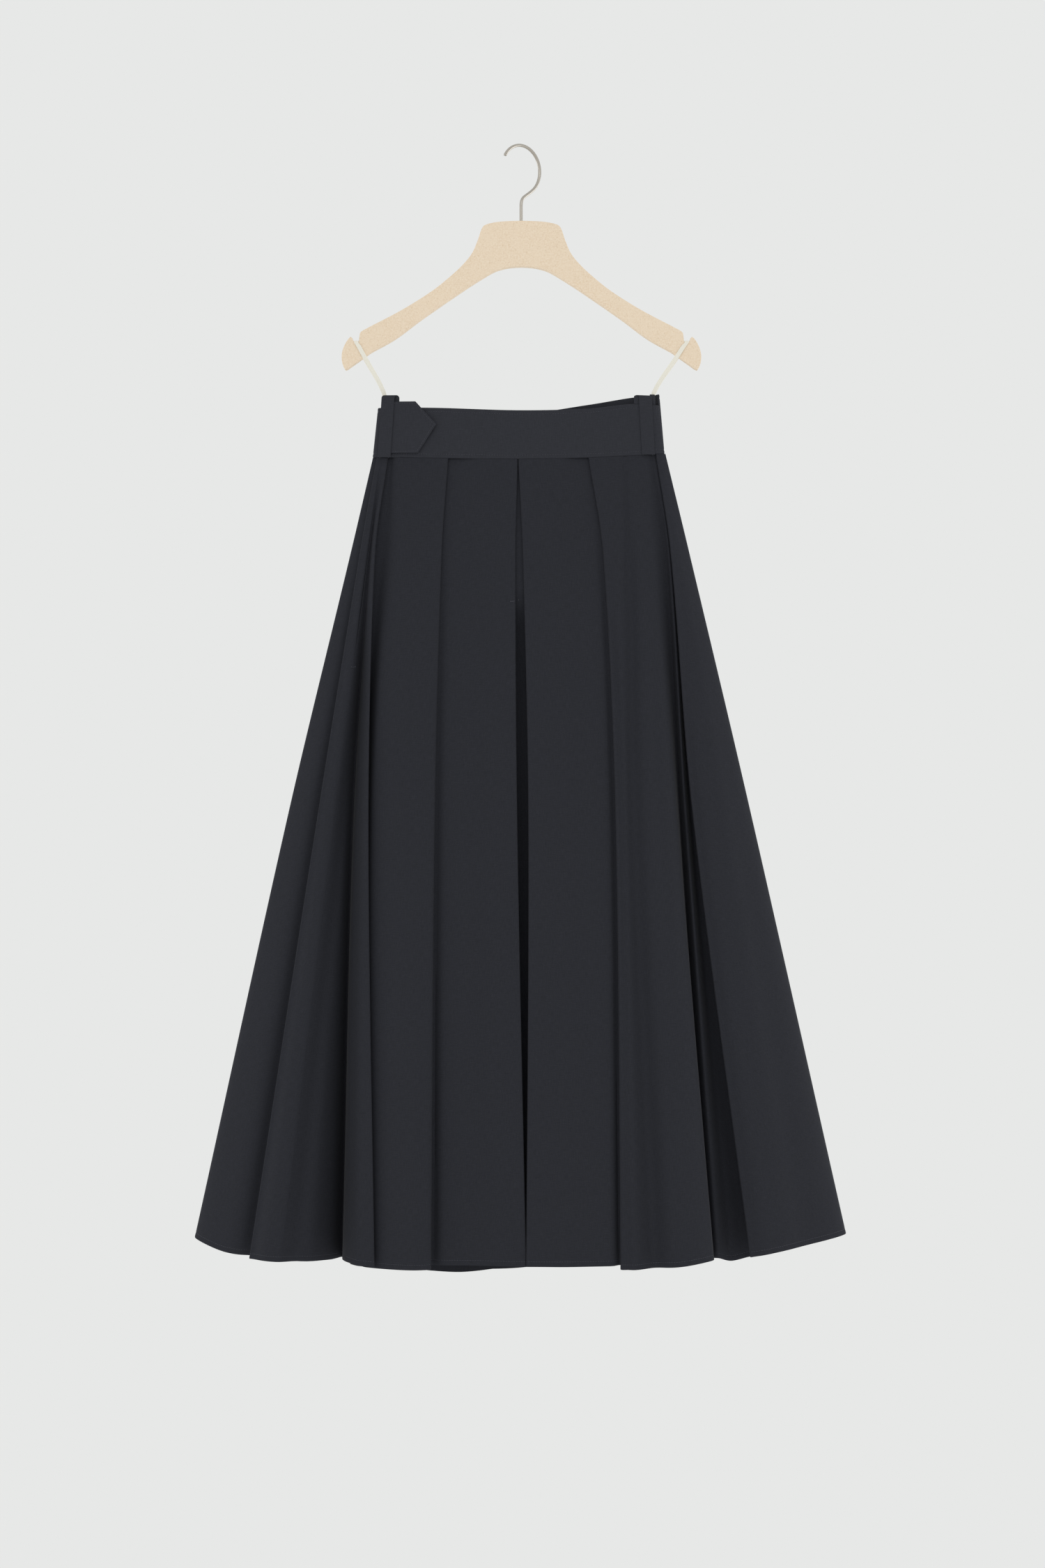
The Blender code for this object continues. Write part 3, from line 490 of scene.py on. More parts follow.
# %% Soft dents and ridges
FOLDS = {(panel, fold.name): fold for panel, rows in PANELS for fold in rows}
Dent = namedtuple("Dent", "panel line at_top at_hem wide_top wide_hem high_top high_hem start end")
LEFT, RIGHT, BACK_R, BACK_L = (panel for panel, _ in PANELS)
DENT_FADE = 0.18
DENT_FULL_DEPTH = 12.0
DENT_REACH = 3
DENTS = [Dent(*row) for row in (
    (LEFT, "second panel edge", -3, -3, 5, 5, -2.4, -2.4, -0.15, 0.12),
    (RIGHT, "second panel trough", 8, -60, 3, 3, -1.6, -1.6, -0.15, 0.05),
    (BACK_L, "outer fold", 0, 0, 4, 11, -1.0, -8.0, 0.05, 1.0),
    (LEFT, "side seam", 6, 15, 5, 11, -1.5, -8.0, 0.2, 1.0),
    (LEFT, "side valley", 2, -6, 6, 16, -1.5, -10.0, 0.15, 1.0),
    (LEFT, "side valley", 0, 2, 3.5, 7, -4.0, -24.0, 0.12, 1.0),
    (LEFT, "side shoulder", 2, 4, 4, 9, -2.0, -16.0, 0.15, 1.0),
    (LEFT, "front fold", 4, 4, 4, 5, -1.0, -6.5, 0.05, 1.0),
    (LEFT, "front fold", -14, -16, 7, 9, 0.8, 1.5, 0.1, 1.0),
    (LEFT, "first panel", -6, -8, 10, 14, -0.8, -1.2, 0.1, 0.8),
    (LEFT, "centre fold", -24, -30, 9, 16, 0.8, 1.4, 0.2, 1.0),
    (RIGHT, "first panel", -8, -16, 9, 15, 0.9, 1.3, 0.2, 1.0),
    (RIGHT, "first panel", 14, 18, 9, 13, -0.9, -1.2, 0.1, 0.9),
    (RIGHT, "front fold", -4, -3, 3.5, 4.5, -1.5, -8.0, 0.03, 1.0),
    (RIGHT, "front fold", 5, 6, 3.5, 6, -2.5, -5.0, 0.1, 1.0),
    (RIGHT, "second panel trough", 3, 4, 6, 16, -3.0, -16.0, 0.0, 1.0),
    (RIGHT, "second panel crest", 6, 6, 6, 12, -1.6, -1.0, 0.03, 0.5),
    (BACK_R, "side fold", 2, -2, 4, 12, -1.0, -9.0, 0.2, 1.0),
    (BACK_R, "side panel", 6, 10, 6, 18, -0.6, -2.0, 0.2, 1.0),
    (BACK_L, "outer panel", 6, 4, 6, 16, 0.6, 1.6, 0.2, 1.0),
    (BACK_R, "side back fold", 8, 10, 4, 11, -1.0, -6.0, 0.1, 1.0),
    (BACK_R, "back fold", 20, 32, 8, 18, -1.6, -6.0, 0.1, 1.0),
    (BACK_R, "first back panel", 8, 10, 10, 15, 0.9, 1.4, 0.1, 1.0),
    (BACK_L, "back fold", -20, -30, 8, 18, -1.6, -6.0, 0.1, 1.0),
    (BACK_L, "first back panel", -8, -8, 10, 15, -0.9, -1.3, 0.1, 1.0),
    (BACK_L, "second back panel", -12, -26, 8, 22, 1.0, 3.0, 0.2, 1.0),
    (BACK_L, "second back panel", 2, 18, 8, 20, -1.0, -4.0, 0.2, 1.0),
)]
print("dents and ridges:", len(DENTS))


# %% How a dent moves the cloth
def soft_step(share):
    """0 below 0, 1 above 1 and a smooth rise between."""
    share = min(max(share, 0.0), 1.0)
    return share * share * (3 - 2 * share)


def window(t, start, end):
    """Rises softly from 0 at start, and falls again just after end where end is below 1."""
    fall = 1.0 if end >= 1.0 else soft_step((end + DENT_FADE - t) / DENT_FADE)
    return soft_step((t - start) / DENT_FADE) * fall


def line_x(fold, t):
    """Where a fold's line stands across at t, from 0 at the waist to 1 at the hem."""
    return between((fold.x_waist, fold.x_hip, fold.x_knee, fold.x_hem), X_LEVELS, t)


def dents_at(t):
    """Each dent's side, place, width and height at t."""
    found = []
    for dent in DENTS:
        fold = FOLDS[(dent.panel, dent.line)]
        place = line_x(fold, t) + dent.at_top + (dent.at_hem - dent.at_top) * t
        width = dent.wide_top + (dent.wide_hem - dent.wide_top) * t
        high = (dent.high_top + (dent.high_hem - dent.high_top) * t) * window(t, dent.start, dent.end)
        found.append((fold.side, place, width, high))
    return found


def eased(point, dents):
    """How far the dents move the cloth to the front or back at a point of the ring."""
    side = -1 if point.y < 0 else 1
    out = 0.0
    for dent_side, place, width, high in dents:
        near = (point.x - place) / width
        if dent_side == side and abs(near) < DENT_REACH:
            out += high * math.exp(-near * near)
    return side * out * min(abs(point.y) / DENT_FULL_DEPTH, 1.0)


knee_dents = [abs(high) for *_, high in dents_at(0.45)]
print("at the knee they move the cloth by up to, mm:", round(max(knee_dents), 1))


# %% Where a fold's line is
FINE = 6
NOSE_PARTS = 8
UNDERLAY_END = 0.165
UNDERLAY_FADE = 0.05


def fold_place(fold, t, layer):
    """Where a fold's line is at t, from 0 at the waist to 1 at the hem, in the layer given."""
    u = (fold.x_waist - BAND_CENTRE_X) / BAND_HALF_BOTTOM
    waist_y = fold.side * (band_depth(u, 0) + BAND / 2 - CLOTH / 2 - WAIST_TUCK - LAYER * layer)
    shift = fold.side * LAYER * (fold.layer - layer)
    y = between((waist_y, fold.y_mid + shift, fold.y_hem + shift), Y_LEVELS, t)
    return Vector((line_x(fold, t), y))


def fold_height(fold, t):
    """Height of a fold's line at t. Every line of the cloth keeps its length as it swings out."""
    u = (fold.x_waist - BAND_CENTRE_X) / BAND_HALF_BOTTOM
    front, back = band_edges(u, -1)[0], band_edges(u, 1)[0]
    start = front + (back - front) * (fold.side + 1) / 2 - SEAM
    across = fold_place(fold, 1.0, fold.layer) - fold_place(fold, 0.0, fold.layer)
    return start - t * math.sqrt(fold.length**2 - across.length_squared)


print("the centre fold's hem is at, mm:", round(fold_height(FOLDS[(LEFT, "centre fold")], 1.0), 1))


# %% Rings of cloth
def curve_points(controls, parts, before=None, after=None):
    """Points on a smooth curve through the controls, with parts[i] pieces after control i."""
    path = [before or controls[0]] + controls + [after or controls[-1]]
    points = []
    for i in range(len(controls) - 1):
        a, b, c, d = path[i : i + 4]
        span = (c - b).length
        leave = (c - a) * (span / max((b - a).length + span, 1e-6))
        arrive = (d - b) * (span / max((d - c).length + span, 1e-6))
        for k in range(parts[i]):
            s = k / parts[i]
            one = leave * (s * (1 - s) ** 2) - arrive * (s * s * (1 - s))
            points.append(b + (c - b) * (s * s * (3 - 2 * s)) + one)
    return points


def underlay_place(place, t):
    """The centre pleat's underlay, kept right behind the fold down to the tack that closes the fly."""
    fold = fold_place(FOLDS[(LEFT, "centre fold")], t, 2)
    share = soft_step((UNDERLAY_END + UNDERLAY_FADE - t) / UNDERLAY_FADE)
    return Vector((place.x, place.y + (fold.y - place.y) * share))


def on_line(fold, t):
    """The point of a fold's line at t."""
    here = fold_place(fold, t, fold.layer)
    if fold.name == "front centre":
        here = underlay_place(here, t)
    return Vector((here.x, here.y, fold_height(fold, t)))


def skirt_ring(t):
    """Points of the cloth's middle surface round the skirt at t, and the index where each panel starts."""
    folds = [fold for _, rows in PANELS for fold in rows]
    seams = {id(rows[0]) for _, rows in PANELS}
    starts = []
    points = []
    run = []
    parts = []
    last = folds[-1]
    before = on_line(last, t) - Vector((0, last.side * LAYER * last.step, 0))
    for fold in folds + folds[:1]:
        run.append(on_line(fold, t))
        if id(fold) in seams and len(starts) < len(PANELS):
            starts.append(len(points) + sum(parts))
        if fold.turn:
            points.extend(curve_points(run, parts, before))
            before = None
            deep = -fold.side * LAYER * fold.step
            for k in range(NOSE_PARTS):
                turn = math.pi * k / NOSE_PARTS
                nose = Vector((fold.turn * FOLD_ROUND * math.sin(turn), deep * (1 - math.cos(turn)) / 2, 0))
                points.append(run[-1] + nose)
            run = [run[-1] + Vector((0, deep, 0))]
            parts = []
        parts.append(fold.parts * FINE)
    points.extend(curve_points(run, parts, after=on_line(folds[1], t)))
    dents = dents_at(t)
    for point in points:
        point.y += eased(point, dents)
    return points, starts


HEM_STITCH = 6.0
HEM_LENGTH = 955.0
HEM_RINGS = (8.5, 7.0, HEM_STITCH, 5.0, 3.4, 1.2, 0.4, 0.0)
TOP_RINGS = (0.0, 0.004)
EVEN_RINGS = (0.012, 0.985)
EVEN_COUNT = 58


def ring_levels():
    """Heights of the rings, closer together at the waist and about the hem's stitching."""
    start, end = EVEN_RINGS
    levels = [*TOP_RINGS, start]
    levels += [start + (end - start) * k / EVEN_COUNT for k in range(1, EVEN_COUNT + 1)]
    return levels + [1.0 - above / HEM_LENGTH for above in HEM_RINGS]


LEVELS = ring_levels()
RINGS = [skirt_ring(t) for t in LEVELS]
print("rings:", len(RINGS), " points round each:", len(RINGS[0][0]))

# %% [markdown]
# ## The skirt panels
#
# The ring is cut at the side seams and the centre seams, and each stretch of it becomes one panel with its
# two faces. The cloth thins to a rounded edge at the hem and dips where the hem is stitched. At the left
# side seam the pocket's front edge stands a little proud and the back edge goes in under it, so the
# opening shows as a dark line, as on the real skirt.


# %% Closed meshes with the cloth's measurements
def finished(name, mesh, look, angle=50):
    """The object made from a bmesh, smooth but for its sharp edges."""
    bmesh.ops.recalc_face_normals(mesh, faces=mesh.faces)
    data = bpy.data.meshes.new(name)
    mesh.to_mesh(data)
    mesh.free()
    data.materials.append(look)
    data.shade_smooth()
    data.set_sharp_from_angle(angle=math.radians(angle))
    return add_object(name, data)


def skin(name, rings, marks, faces, look, angle=50):
    """A mesh through rings of points. faces lists corners as (ring, point), and marks holds each point's
    place on the cloth in mm."""
    mesh = bmesh.new()
    weave = mesh.loops.layers.uv.new("weave")
    verts = [[mesh.verts.new(point * MM) for point in ring] for ring in rings]
    for corners in faces:
        face = mesh.faces.new([verts[r][i] for r, i in corners])
        for loop, (r, i) in zip(face.loops, corners):
            loop[weave].uv = marks[r][i]
    return finished(name, mesh, look, angle)


def wall_mesh(name, outer, inner, marks, look):
    """One closed wall between two grids of points."""
    far = len(outer)
    last = far - 1
    side = len(outer[0]) - 1
    faces = []
    for r in range(last):
        s, t = far + r, far + r + 1
        for i in range(side):
            faces.append(((r, i), (r + 1, i), (r + 1, i + 1), (r, i + 1)))
            faces.append(((s, i), (s, i + 1), (t, i + 1), (t, i)))
        faces.append(((r, 0), (s, 0), (t, 0), (r + 1, 0)))
        faces.append(((r, side), (r + 1, side), (t, side), (s, side)))
    for i in range(side):
        faces.append(((0, i), (0, i + 1), (far, i + 1), (far, i)))
        faces.append(((last, i), (far + last, i), (far + last, i + 1), (last, i + 1)))
    return skin(name, outer + inner, marks + marks, faces, look)


print("mesh helpers:", [helper.__name__ for helper in (finished, skin, wall_mesh)])


# %% Edges of the panels
def outward(points, i):
    """The level direction out of the cloth's right side at point i of a closed ring, longer at a corner."""
    before = points[i] - points[i - 1]
    after = points[(i + 1) % len(points)] - points[i]
    one = Vector((before.y, -before.x, 0)).normalized()
    two = Vector((after.y, -after.x, 0)).normalized()
    both = (one + two).normalized()
    return both / max(both.dot(one), CORNER_LIMIT)


def waist_height(point):
    return band_edges(band_u(point.x, 0), point.y)[0] - SEAM


HEM_DIP = 0.22
HEM_DIP_WIDTH = 0.9
HEM_ROLL = 0.35
HEM_ROLL_HEIGHT = 1.2
HEM_FOLD_RISE = 0.12


def hem_relief(t):
    """How the cloth's right side rises or dips near the hem, in mm."""
    above = (1.0 - t) * HEM_LENGTH
    dip = -HEM_DIP * math.exp(-(((above - HEM_STITCH) / HEM_DIP_WIDTH) ** 2))
    roll = -HEM_ROLL * max(0.0, 1 - above / HEM_ROLL_HEIGHT) ** 2
    fold = HEM_FOLD_RISE if above < HEM_STITCH - HEM_DIP_WIDTH else 0.0
    return dip + roll + fold


POCKET_START = 0.02
POCKET_END = 0.262
POCKET_LIFT = 1.1
POCKET_REACH = 5
POCKET_BLUNT = 0.6


def pocket_open(t):
    """How far the pocket is open at t, from 0 to 1."""
    if not POCKET_START < t < POCKET_END:
        return 0.0
    return math.sin(math.pi * (t - POCKET_START) / (POCKET_END - POCKET_START)) ** POCKET_BLUNT


print("hem relief at the stitches, mm:", hem_relief(1 - HEM_STITCH / HEM_LENGTH))


# %% Make the four panels
def panel_grids(number):
    """The right side, the wrong side and the cloth's own measurements of one panel."""
    first = RINGS[0][1][number]
    last = (RINGS[0][1] + [len(RINGS[0][0])])[number + 1]
    outer, inner, marks = [], [], []
    for t, (points, _) in zip(LEVELS, RINGS):
        count = len(points)
        out_ring, in_ring, row = [], [], []
        run = 0.0
        for i in range(first, last + 1):
            here = points[i % count].copy()
            if i > first:
                run += (here - points[(i - 1) % count]).length
            way = outward(points, i % count)
            along = Vector((-way.y, way.x, 0)).normalized()
            lift = 0.0
            if i == first:
                here += along * (SEWN / 2)
            if i == last:
                here -= along * (SEWN / 2)
            if number == 0 and i - first < POCKET_REACH:
                lift = POCKET_LIFT * pocket_open(t) * (1 - (i - first) / POCKET_REACH)
            if number == 3 and last - i < POCKET_REACH:
                lift = -POCKET_LIFT * pocket_open(t) * (1 - (last - i) / POCKET_REACH)
            here += way * lift
            out_ring.append(here + way * (CLOTH / 2 + hem_relief(t)))
            in_ring.append(here - way * (CLOTH / 2))
            row.append((run, t * HEM_LENGTH))
        middle = run / 2
        if t == 0.0:
            for point in out_ring + in_ring:
                point.z = waist_height(point) + SEAM - SEWN
        outer.append(out_ring)
        inner.append(in_ring)
        marks.append([(u - middle, v) for u, v in row])
    return outer, inner, marks


def face_area(outer):
    """Area of a grid of points in square metres."""
    area = 0.0
    for one, two in zip(outer, outer[1:]):
        for i in range(len(one) - 1):
            area += (one[i + 1] - one[i]).cross(two[i] - one[i]).length
    return area * MM * MM


GRIDS = [panel_grids(number) for number in range(len(PANELS))]
panels = []
panel_cuts = []
for (node, _), (outer, inner, marks) in zip(PANELS, GRIDS):
    piece = wall_mesh(node.replace("skirt", "cloth"), outer, inner, marks, twill)
    panels.append(piece)
    hem = (marks[-1][-1][0] - marks[-1][0][0]) * MM
    area = face_area(outer)
    panel_cuts.append((hem, area))
    print(piece.name, "hem, m:", round(hem, 3), "cloth, m2:", round(area, 3))

# %% [markdown]
# ## The waistband
#
# The band is two layers of twill with interfacing between, folded at its edges and topstitched about 5 mm
# inside them. Its section is drawn once, with rounded edges and a shallow groove under each row of stitches,
# and carried along the band's curve. The seam allowance inside the stitching pushes the cloth up a little,
# unevenly, which gives the slight puckers.

# %% Band section and the loft that carries it
BAND_STITCH = 4.6
BAND_COLUMNS = 150
BAND_END_U = 0.9999


def band_section(height):
    """The band's section as (distance from its bottom, out), up its right side and down its wrong side."""
    half = BAND / 2
    edge = ((0.0, 0.25), (0.2, 0.8), (0.7, 1.12), (1.5, half), (2.8, half), (3.8, 1.08), (4.3, 0.92))
    edge += ((BAND_STITCH, 0.86), (4.9, 0.92), (5.4, 1.08), (6.6, half))
    right = list(edge)
    middle = 12
    for k in range(1, middle):
        right.append((edge[-1][0] + (height - 2 * edge[-1][0]) * k / middle, half))
    right += [(height - up, out) for up, out in reversed(edge)]
    wrong = [(height, -0.25), (height - 0.7, -half), (0.7, -half), (0.0, -0.25)]
    return right + wrong, len(right)


def loft(name, sections, marks, look, angle=50):
    """A closed skin through closed loops of points, with flat ends."""
    count = len(sections[0])
    faces = []
    for r in range(len(sections) - 1):
        for k in range(count):
            before = (k or count) - 1
            faces.append(((r, before), (r, k), (r + 1, k), (r + 1, before)))
    faces += [[(r, k) for k in range(count)] for r in (0, len(sections) - 1)]
    return skin(name, sections, marks, faces, look, angle)


def band_point(u, h, side, out=0.0):
    """A point on the waistband, h from bottom to top, moved out by so much from its middle surface."""
    bottom, top = band_edges(u, side)
    x = BAND_CENTRE_X + u * band_half(h)
    y = side * band_depth(u, h)
    if out:
        step = 0.004
        low = max(-1.0, u - step)
        high = min(1.0, u + step)
        ahead = side * (band_depth(high, h) - band_depth(low, h))
        way = Vector((side * -ahead, side * (high - low) * band_half(h), 0)).normalized()
        x += way.x * out
        y += way.y * out
    return Vector((x, y, bottom + (top - bottom) * h))


print("points in the band's section:", len(band_section(60)[0]))


# %% Make the waistband
PUCKER = 0.22
PUCKER_UP = 3.4
PUCKER_WIDTH = 2.6
PUCKERS_ALONG = 52.0
PUCKERS_UP = 0.16
PUCKER_SEED = 3.0
LAP = 1.0
LAP_EDGE = 0.5
LAP_LEFT_X = 153.5
LAP_RIGHT_X = 160.8
LAP_TOP_Z = -295.0
LAP_BOTTOM_Z = -335.0
LAP_COLUMNS = 10
LAP_ROWS = 16


def band_h(u, z, side=-1):
    bottom, top = band_edges(u, side)
    return (z - bottom) / (top - bottom)


def pucker(u, up, height):
    """The uneven rise between a band's edge and its stitching, in mm."""
    near = math.exp(-(((min(up, height - up) - PUCKER_UP) / PUCKER_WIDTH) ** 2))
    return PUCKER * noise.noise(Vector((u * PUCKERS_ALONG, up * PUCKERS_UP, PUCKER_SEED))) * near


def on_band(x, z, out, side=-1):
    """A point by one half of the waistband, or by its slope carried on above its top edge."""
    h = band_h(band_u(x, 0.5), z, side)
    point = band_point(band_u(x, h), h, side, out)
    point.z = z
    return point


def wall_over(name, heights, across, two_sides):
    """A closed wall of twill. across gives the places at a height, two_sides its two faces at a place."""
    marks = [[(x, z) for x in across(z)] for z in heights]
    pairs = [[two_sides(x, z) for x, z in row] for row in marks]
    outer, inner = ([[pair[k] for pair in row] for row in pairs] for k in (0, 1))
    return wall_mesh(name, outer, inner, marks, band_twill)


def lap_sides(x, z):
    """The two faces of the back band's end, which turns forward and laps inside the front band's end."""
    middle = -BAND / 2 - SEAM - LAP / 2
    half = LAP / 2 * (LAP_EDGE if z in (LAP_TOP_Z, LAP_BOTTOM_Z) else 1.0)
    return on_band(x, z, middle + half), on_band(x, z, middle - half)


def even(start, end, count):
    return [start + (end - start) * k / count for k in range(count + 1)]


def make_band(name, side):
    sections, marks = [], []
    for i in range(BAND_COLUMNS + 1):
        u = BAND_END_U * math.sin(math.pi / 2 * (2 * i / BAND_COLUMNS - 1))
        bottom, top = band_edges(u, side)
        height = top - bottom
        profile, right = band_section(height)
        ring, row = [], []
        for k, (up, out) in enumerate(profile):
            if k < right:
                out += pucker(u + side, up, height)
            point = band_point(u, up / height, side, out)
            point.y = side * max(side * point.y, SEWN / 2)
            ring.append(point)
            row.append((u * BAND_HALF_BOTTOM, up))
        sections.append(ring)
        marks.append(row)
    return loft(name, sections, marks, band_twill)


bands = [make_band("band_front", -1), make_band("band_back", 1)]
lap_places = even(LAP_LEFT_X, LAP_RIGHT_X, LAP_COLUMNS)
lap_heights = even(LAP_TOP_Z, LAP_BOTTOM_Z, LAP_ROWS)
lap = wall_over("band_lap", lap_heights, lambda z: lap_places, lap_sides)
print("band pieces:", [(band.name, len(band.data.polygons)) for band in bands])

# %% [markdown]
# ## The belt tab
#
# The belt's free end is cut to a point, folded over interfacing and pressed flat, and edge-stitched. It
# comes out from under the left carrier and lifts a little at its point, where it throws a soft shadow on the
# band. It is a fine grid whose thickness falls to nothing round the outline, so that its edges are rounded.

# %% Make the belt tab
TAB = 2.0
TAB_LIFT = 3.0
TAB_ROOT_U = -0.965
TAB_SHOULDER_X = -125.5
TAB_LOWER_SHOULDER_X = -122.0
TAB_POINT_X = -100.4
TAB_POINT_Z = -331.5
TAB_TOP_Z = -304.0
TAB_BOTTOM_Z = -365.5
TAB_EDGE = 0.9
TAB_EDGE_LEAST = 0.25
TAB_STITCH = 2.2
TAB_GROOVE = 0.16
TAB_GROOVE_WIDTH = 0.5
TAB_COLUMNS = 44
TAB_ROOT_SKIP = 6
TAB_ROWS = 22


def tab_end(z):
    """Where the tab's pointed outline is at height z."""
    if z > TAB_POINT_Z:
        share = (TAB_TOP_Z - z) / (TAB_TOP_Z - TAB_POINT_Z)
        return TAB_SHOULDER_X + (TAB_POINT_X - TAB_SHOULDER_X) * share
    share = (z - TAB_BOTTOM_Z) / (TAB_POINT_Z - TAB_BOTTOM_Z)
    return TAB_LOWER_SHOULDER_X + (TAB_POINT_X - TAB_LOWER_SHOULDER_X) * share


def tab_root(z):
    return BAND_CENTRE_X + TAB_ROOT_U * band_half(band_h(TAB_ROOT_U, z))


TAB_CORNERS = (
    Vector((TAB_SHOULDER_X, TAB_TOP_Z)),
    Vector((TAB_POINT_X, TAB_POINT_Z)),
    Vector((TAB_LOWER_SHOULDER_X, TAB_BOTTOM_Z)),
)


def from_tab_edge(x, z):
    """Distance to the tab's nearest free edge."""
    found = [TAB_TOP_Z - z, z - TAB_BOTTOM_Z]
    for a, b in zip(TAB_CORNERS, TAB_CORNERS[1:]):
        along = (b - a).normalized()
        found.append(abs((x - a.x) * along.y - (z - a.y) * along.x))
    return max(min(found), 0.0)


def tab_surface(x, z, out):
    """A point over the band at the tab's lift. out is measured from the tab's underside."""
    root = tab_root(z)
    lift = TAB_LIFT * max((x - root) / (TAB_POINT_X - root), 0.0) ** 3
    return on_band(x, z, BAND / 2 + SEAM + lift + out)


def close_at_ends(count):
    """Shares from 0 to 1 that lie closer together at both ends."""
    return [(1 - math.cos(math.pi * k / count)) / 2 for k in range(count + 1)]


def tab_places(z):
    root, end = tab_root(z), tab_end(z)
    return [root + (end - root) * s for s in [0.0] + close_at_ends(TAB_COLUMNS)[TAB_ROOT_SKIP:]]


def tab_sides(x, z):
    """The tab's two faces, rounded together at its edge and grooved under its stitches."""
    edge = from_tab_edge(x, z)
    full = math.sqrt(1 - (1 - min(edge / TAB_EDGE, 1.0)) ** 2)
    half = TAB / 2 * max(full, TAB_EDGE_LEAST)
    groove = TAB_GROOVE * math.exp(-(((edge - TAB_STITCH) / TAB_GROOVE_WIDTH) ** 2))
    return tab_surface(x, z, TAB / 2 + half - groove), tab_surface(x, z, TAB / 2 - half)


shares = close_at_ends(TAB_ROWS)
tab_heights = [TAB_TOP_Z + (TAB_POINT_Z - TAB_TOP_Z) * s for s in shares]
tab_heights += [TAB_POINT_Z + (TAB_BOTTOM_Z - TAB_POINT_Z) * s for s in shares[1:]]
tab = wall_over("belt_point", tab_heights, tab_places, tab_sides)
print("tab faces:", len(tab.data.polygons))

# %% [markdown]
# ## The carriers
#
# Each carrier is a strip folded in three, edge-stitched, and sewn on at the band's lower edge and inside its
# top edge, with a little slack that stands up above the band. A rounded section is carried along its path.

# %% Carrier sizes
CARRIER = 1.2
CARRIER_WIDTH = 15.6
CARRIER_TOP_Z = -297.0
CARRIER_BEND = 3.0
CARRIER_ROUND = 1.4
CARRIER_SLACK = 0.4
CARRIER_SHIFT = 5.5
CARRIER_STITCH = 2.4
CARRIER_STOPS = 8
CARRIER_ARC = 12
Carrier = namedtuple("Carrier", "hand top_x bottom_x clear")
CARRIERS = (
    Carrier("left", -158.0, -162.8, TAB + SEAM + CARRIER_SLACK),
    Carrier("right", 147.5, 151.2, 0.0),
)
print("carriers:", [carrier.hand for carrier in CARRIERS])


# %% A strip along a path
STRIP_EDGE = (0.4, 0.82)
STRIP_GROOVE = 0.14
STRIP_GROOVE_HALF = 0.6
STRIP_STEPS = 6


def strip_section(width, thickness, groove_at=None):
    """A flat strip's section with rounded edges, as (across, out) round its outline."""
    half, flat = width / 2, thickness / 2
    back, up = (flat * share for share in STRIP_EDGE)
    side = [(half - flat, flat), (half - back, up), (half, 0.0), (half - back, -up), (half - flat, -flat)]
    right = [(-half + flat, flat)]
    if groove_at:
        for place in (-half + groove_at, half - groove_at):
            one, two = place - STRIP_GROOVE_HALF, place + STRIP_GROOVE_HALF
            right += [(one, flat), (place, flat - STRIP_GROOVE), (two, flat)]
    right += [(-half + flat + (width - thickness) * k / STRIP_STEPS, flat) for k in range(1, STRIP_STEPS)]
    right = sorted(set(right))
    left = [(-across, out) for across, out in reversed(side[1:])]
    return right + side + left


def along_path(path):
    """Each point of a path, with its distance from the start and the way past it."""
    run = 0.0
    for i, here in enumerate(path):
        if i:
            run += (here - path[i - 1]).length
        yield here, run, path[min(i + 1, len(path) - 1)] - path[max(i - 1, 0)]


def ribbon(name, path, across, width, thickness, look, groove_at=None):
    """A strip along a path, wide in the directions given, with rounded edges."""
    section = strip_section(width, thickness, groove_at)
    sections, marks = [], []
    for (here, run, ahead), wide in zip(along_path(path), across):
        face = ahead.cross(wide).normalized()
        side = wide.normalized()
        sections.append([here + side * a + face * o for a, o in section])
        marks.append([(a, run) for a, _ in section])
    return loft(name, sections, marks, look)


def smooth_path(points, parts):
    """A finer path through points, with its last point kept."""
    return curve_points(points, [parts] * (len(points) - 1)) + [points[-1]]


print("points in a carrier's section:", len(strip_section(CARRIER_WIDTH, CARRIER, CARRIER_STITCH)))


# %% Make the carriers
def carrier_path(carrier):
    """The carrier's middle line, and the direction across it."""
    _, top_x, bottom_x, clear = carrier
    bottom_z = band_edges(band_u(bottom_x, 0), -1)[0]
    slope = (top_x - bottom_x) / (CARRIER_TOP_Z - bottom_z)
    out = BAND / 2 + SEAM + clear + CARRIER / 2
    inner_x = top_x - math.copysign(CARRIER_SHIFT, top_x)
    edges = []
    for x in (inner_x - CARRIER_WIDTH / 2, inner_x + CARRIER_WIDTH / 2):
        edges.append(on_band(x, band_edges(band_u(x, 1), -1)[1], 0))
    seat = (edges[0] + edges[1]) / 2
    apart = seat.y - on_band(top_x, CARRIER_TOP_Z, out).y
    bend = min(CARRIER_BEND, CARRIER_ROUND * apart / 2)
    bend_z = CARRIER_TOP_Z - bend
    path = []
    for k in range(CARRIER_STOPS + 1):
        z = bottom_z + (bend_z - bottom_z) * k / CARRIER_STOPS
        x = bottom_x + slope * (z - bottom_z)
        path.append(Vector((x, on_band(x, z, out).y, z)))
    start = path[-1]
    reach = (seat - start) / 2
    for k in range(1, CARRIER_ARC):
        turn = math.pi * k / CARRIER_ARC
        share = 1 - math.cos(turn)
        z = bend_z + bend * math.sin(turn)
        path.append(Vector((start.x + reach.x * share, start.y + reach.y * share, z)))
    path.append(Vector((seat.x, seat.y, bend_z)))
    path.append(Vector((seat.x, seat.y, seat.z + SEAM)))
    return path, edges[1] - edges[0]


def make_carrier(carrier):
    path, level = carrier_path(carrier)
    name = f"carrier_strip_{carrier.hand}"
    return ribbon(name, path, [level] * len(path), CARRIER_WIDTH, CARRIER, band_twill, CARRIER_STITCH)


carriers = [make_carrier(carrier) for carrier in CARRIERS]
print("carriers:", [(c.name, len(c.data.polygons)) for c in carriers])

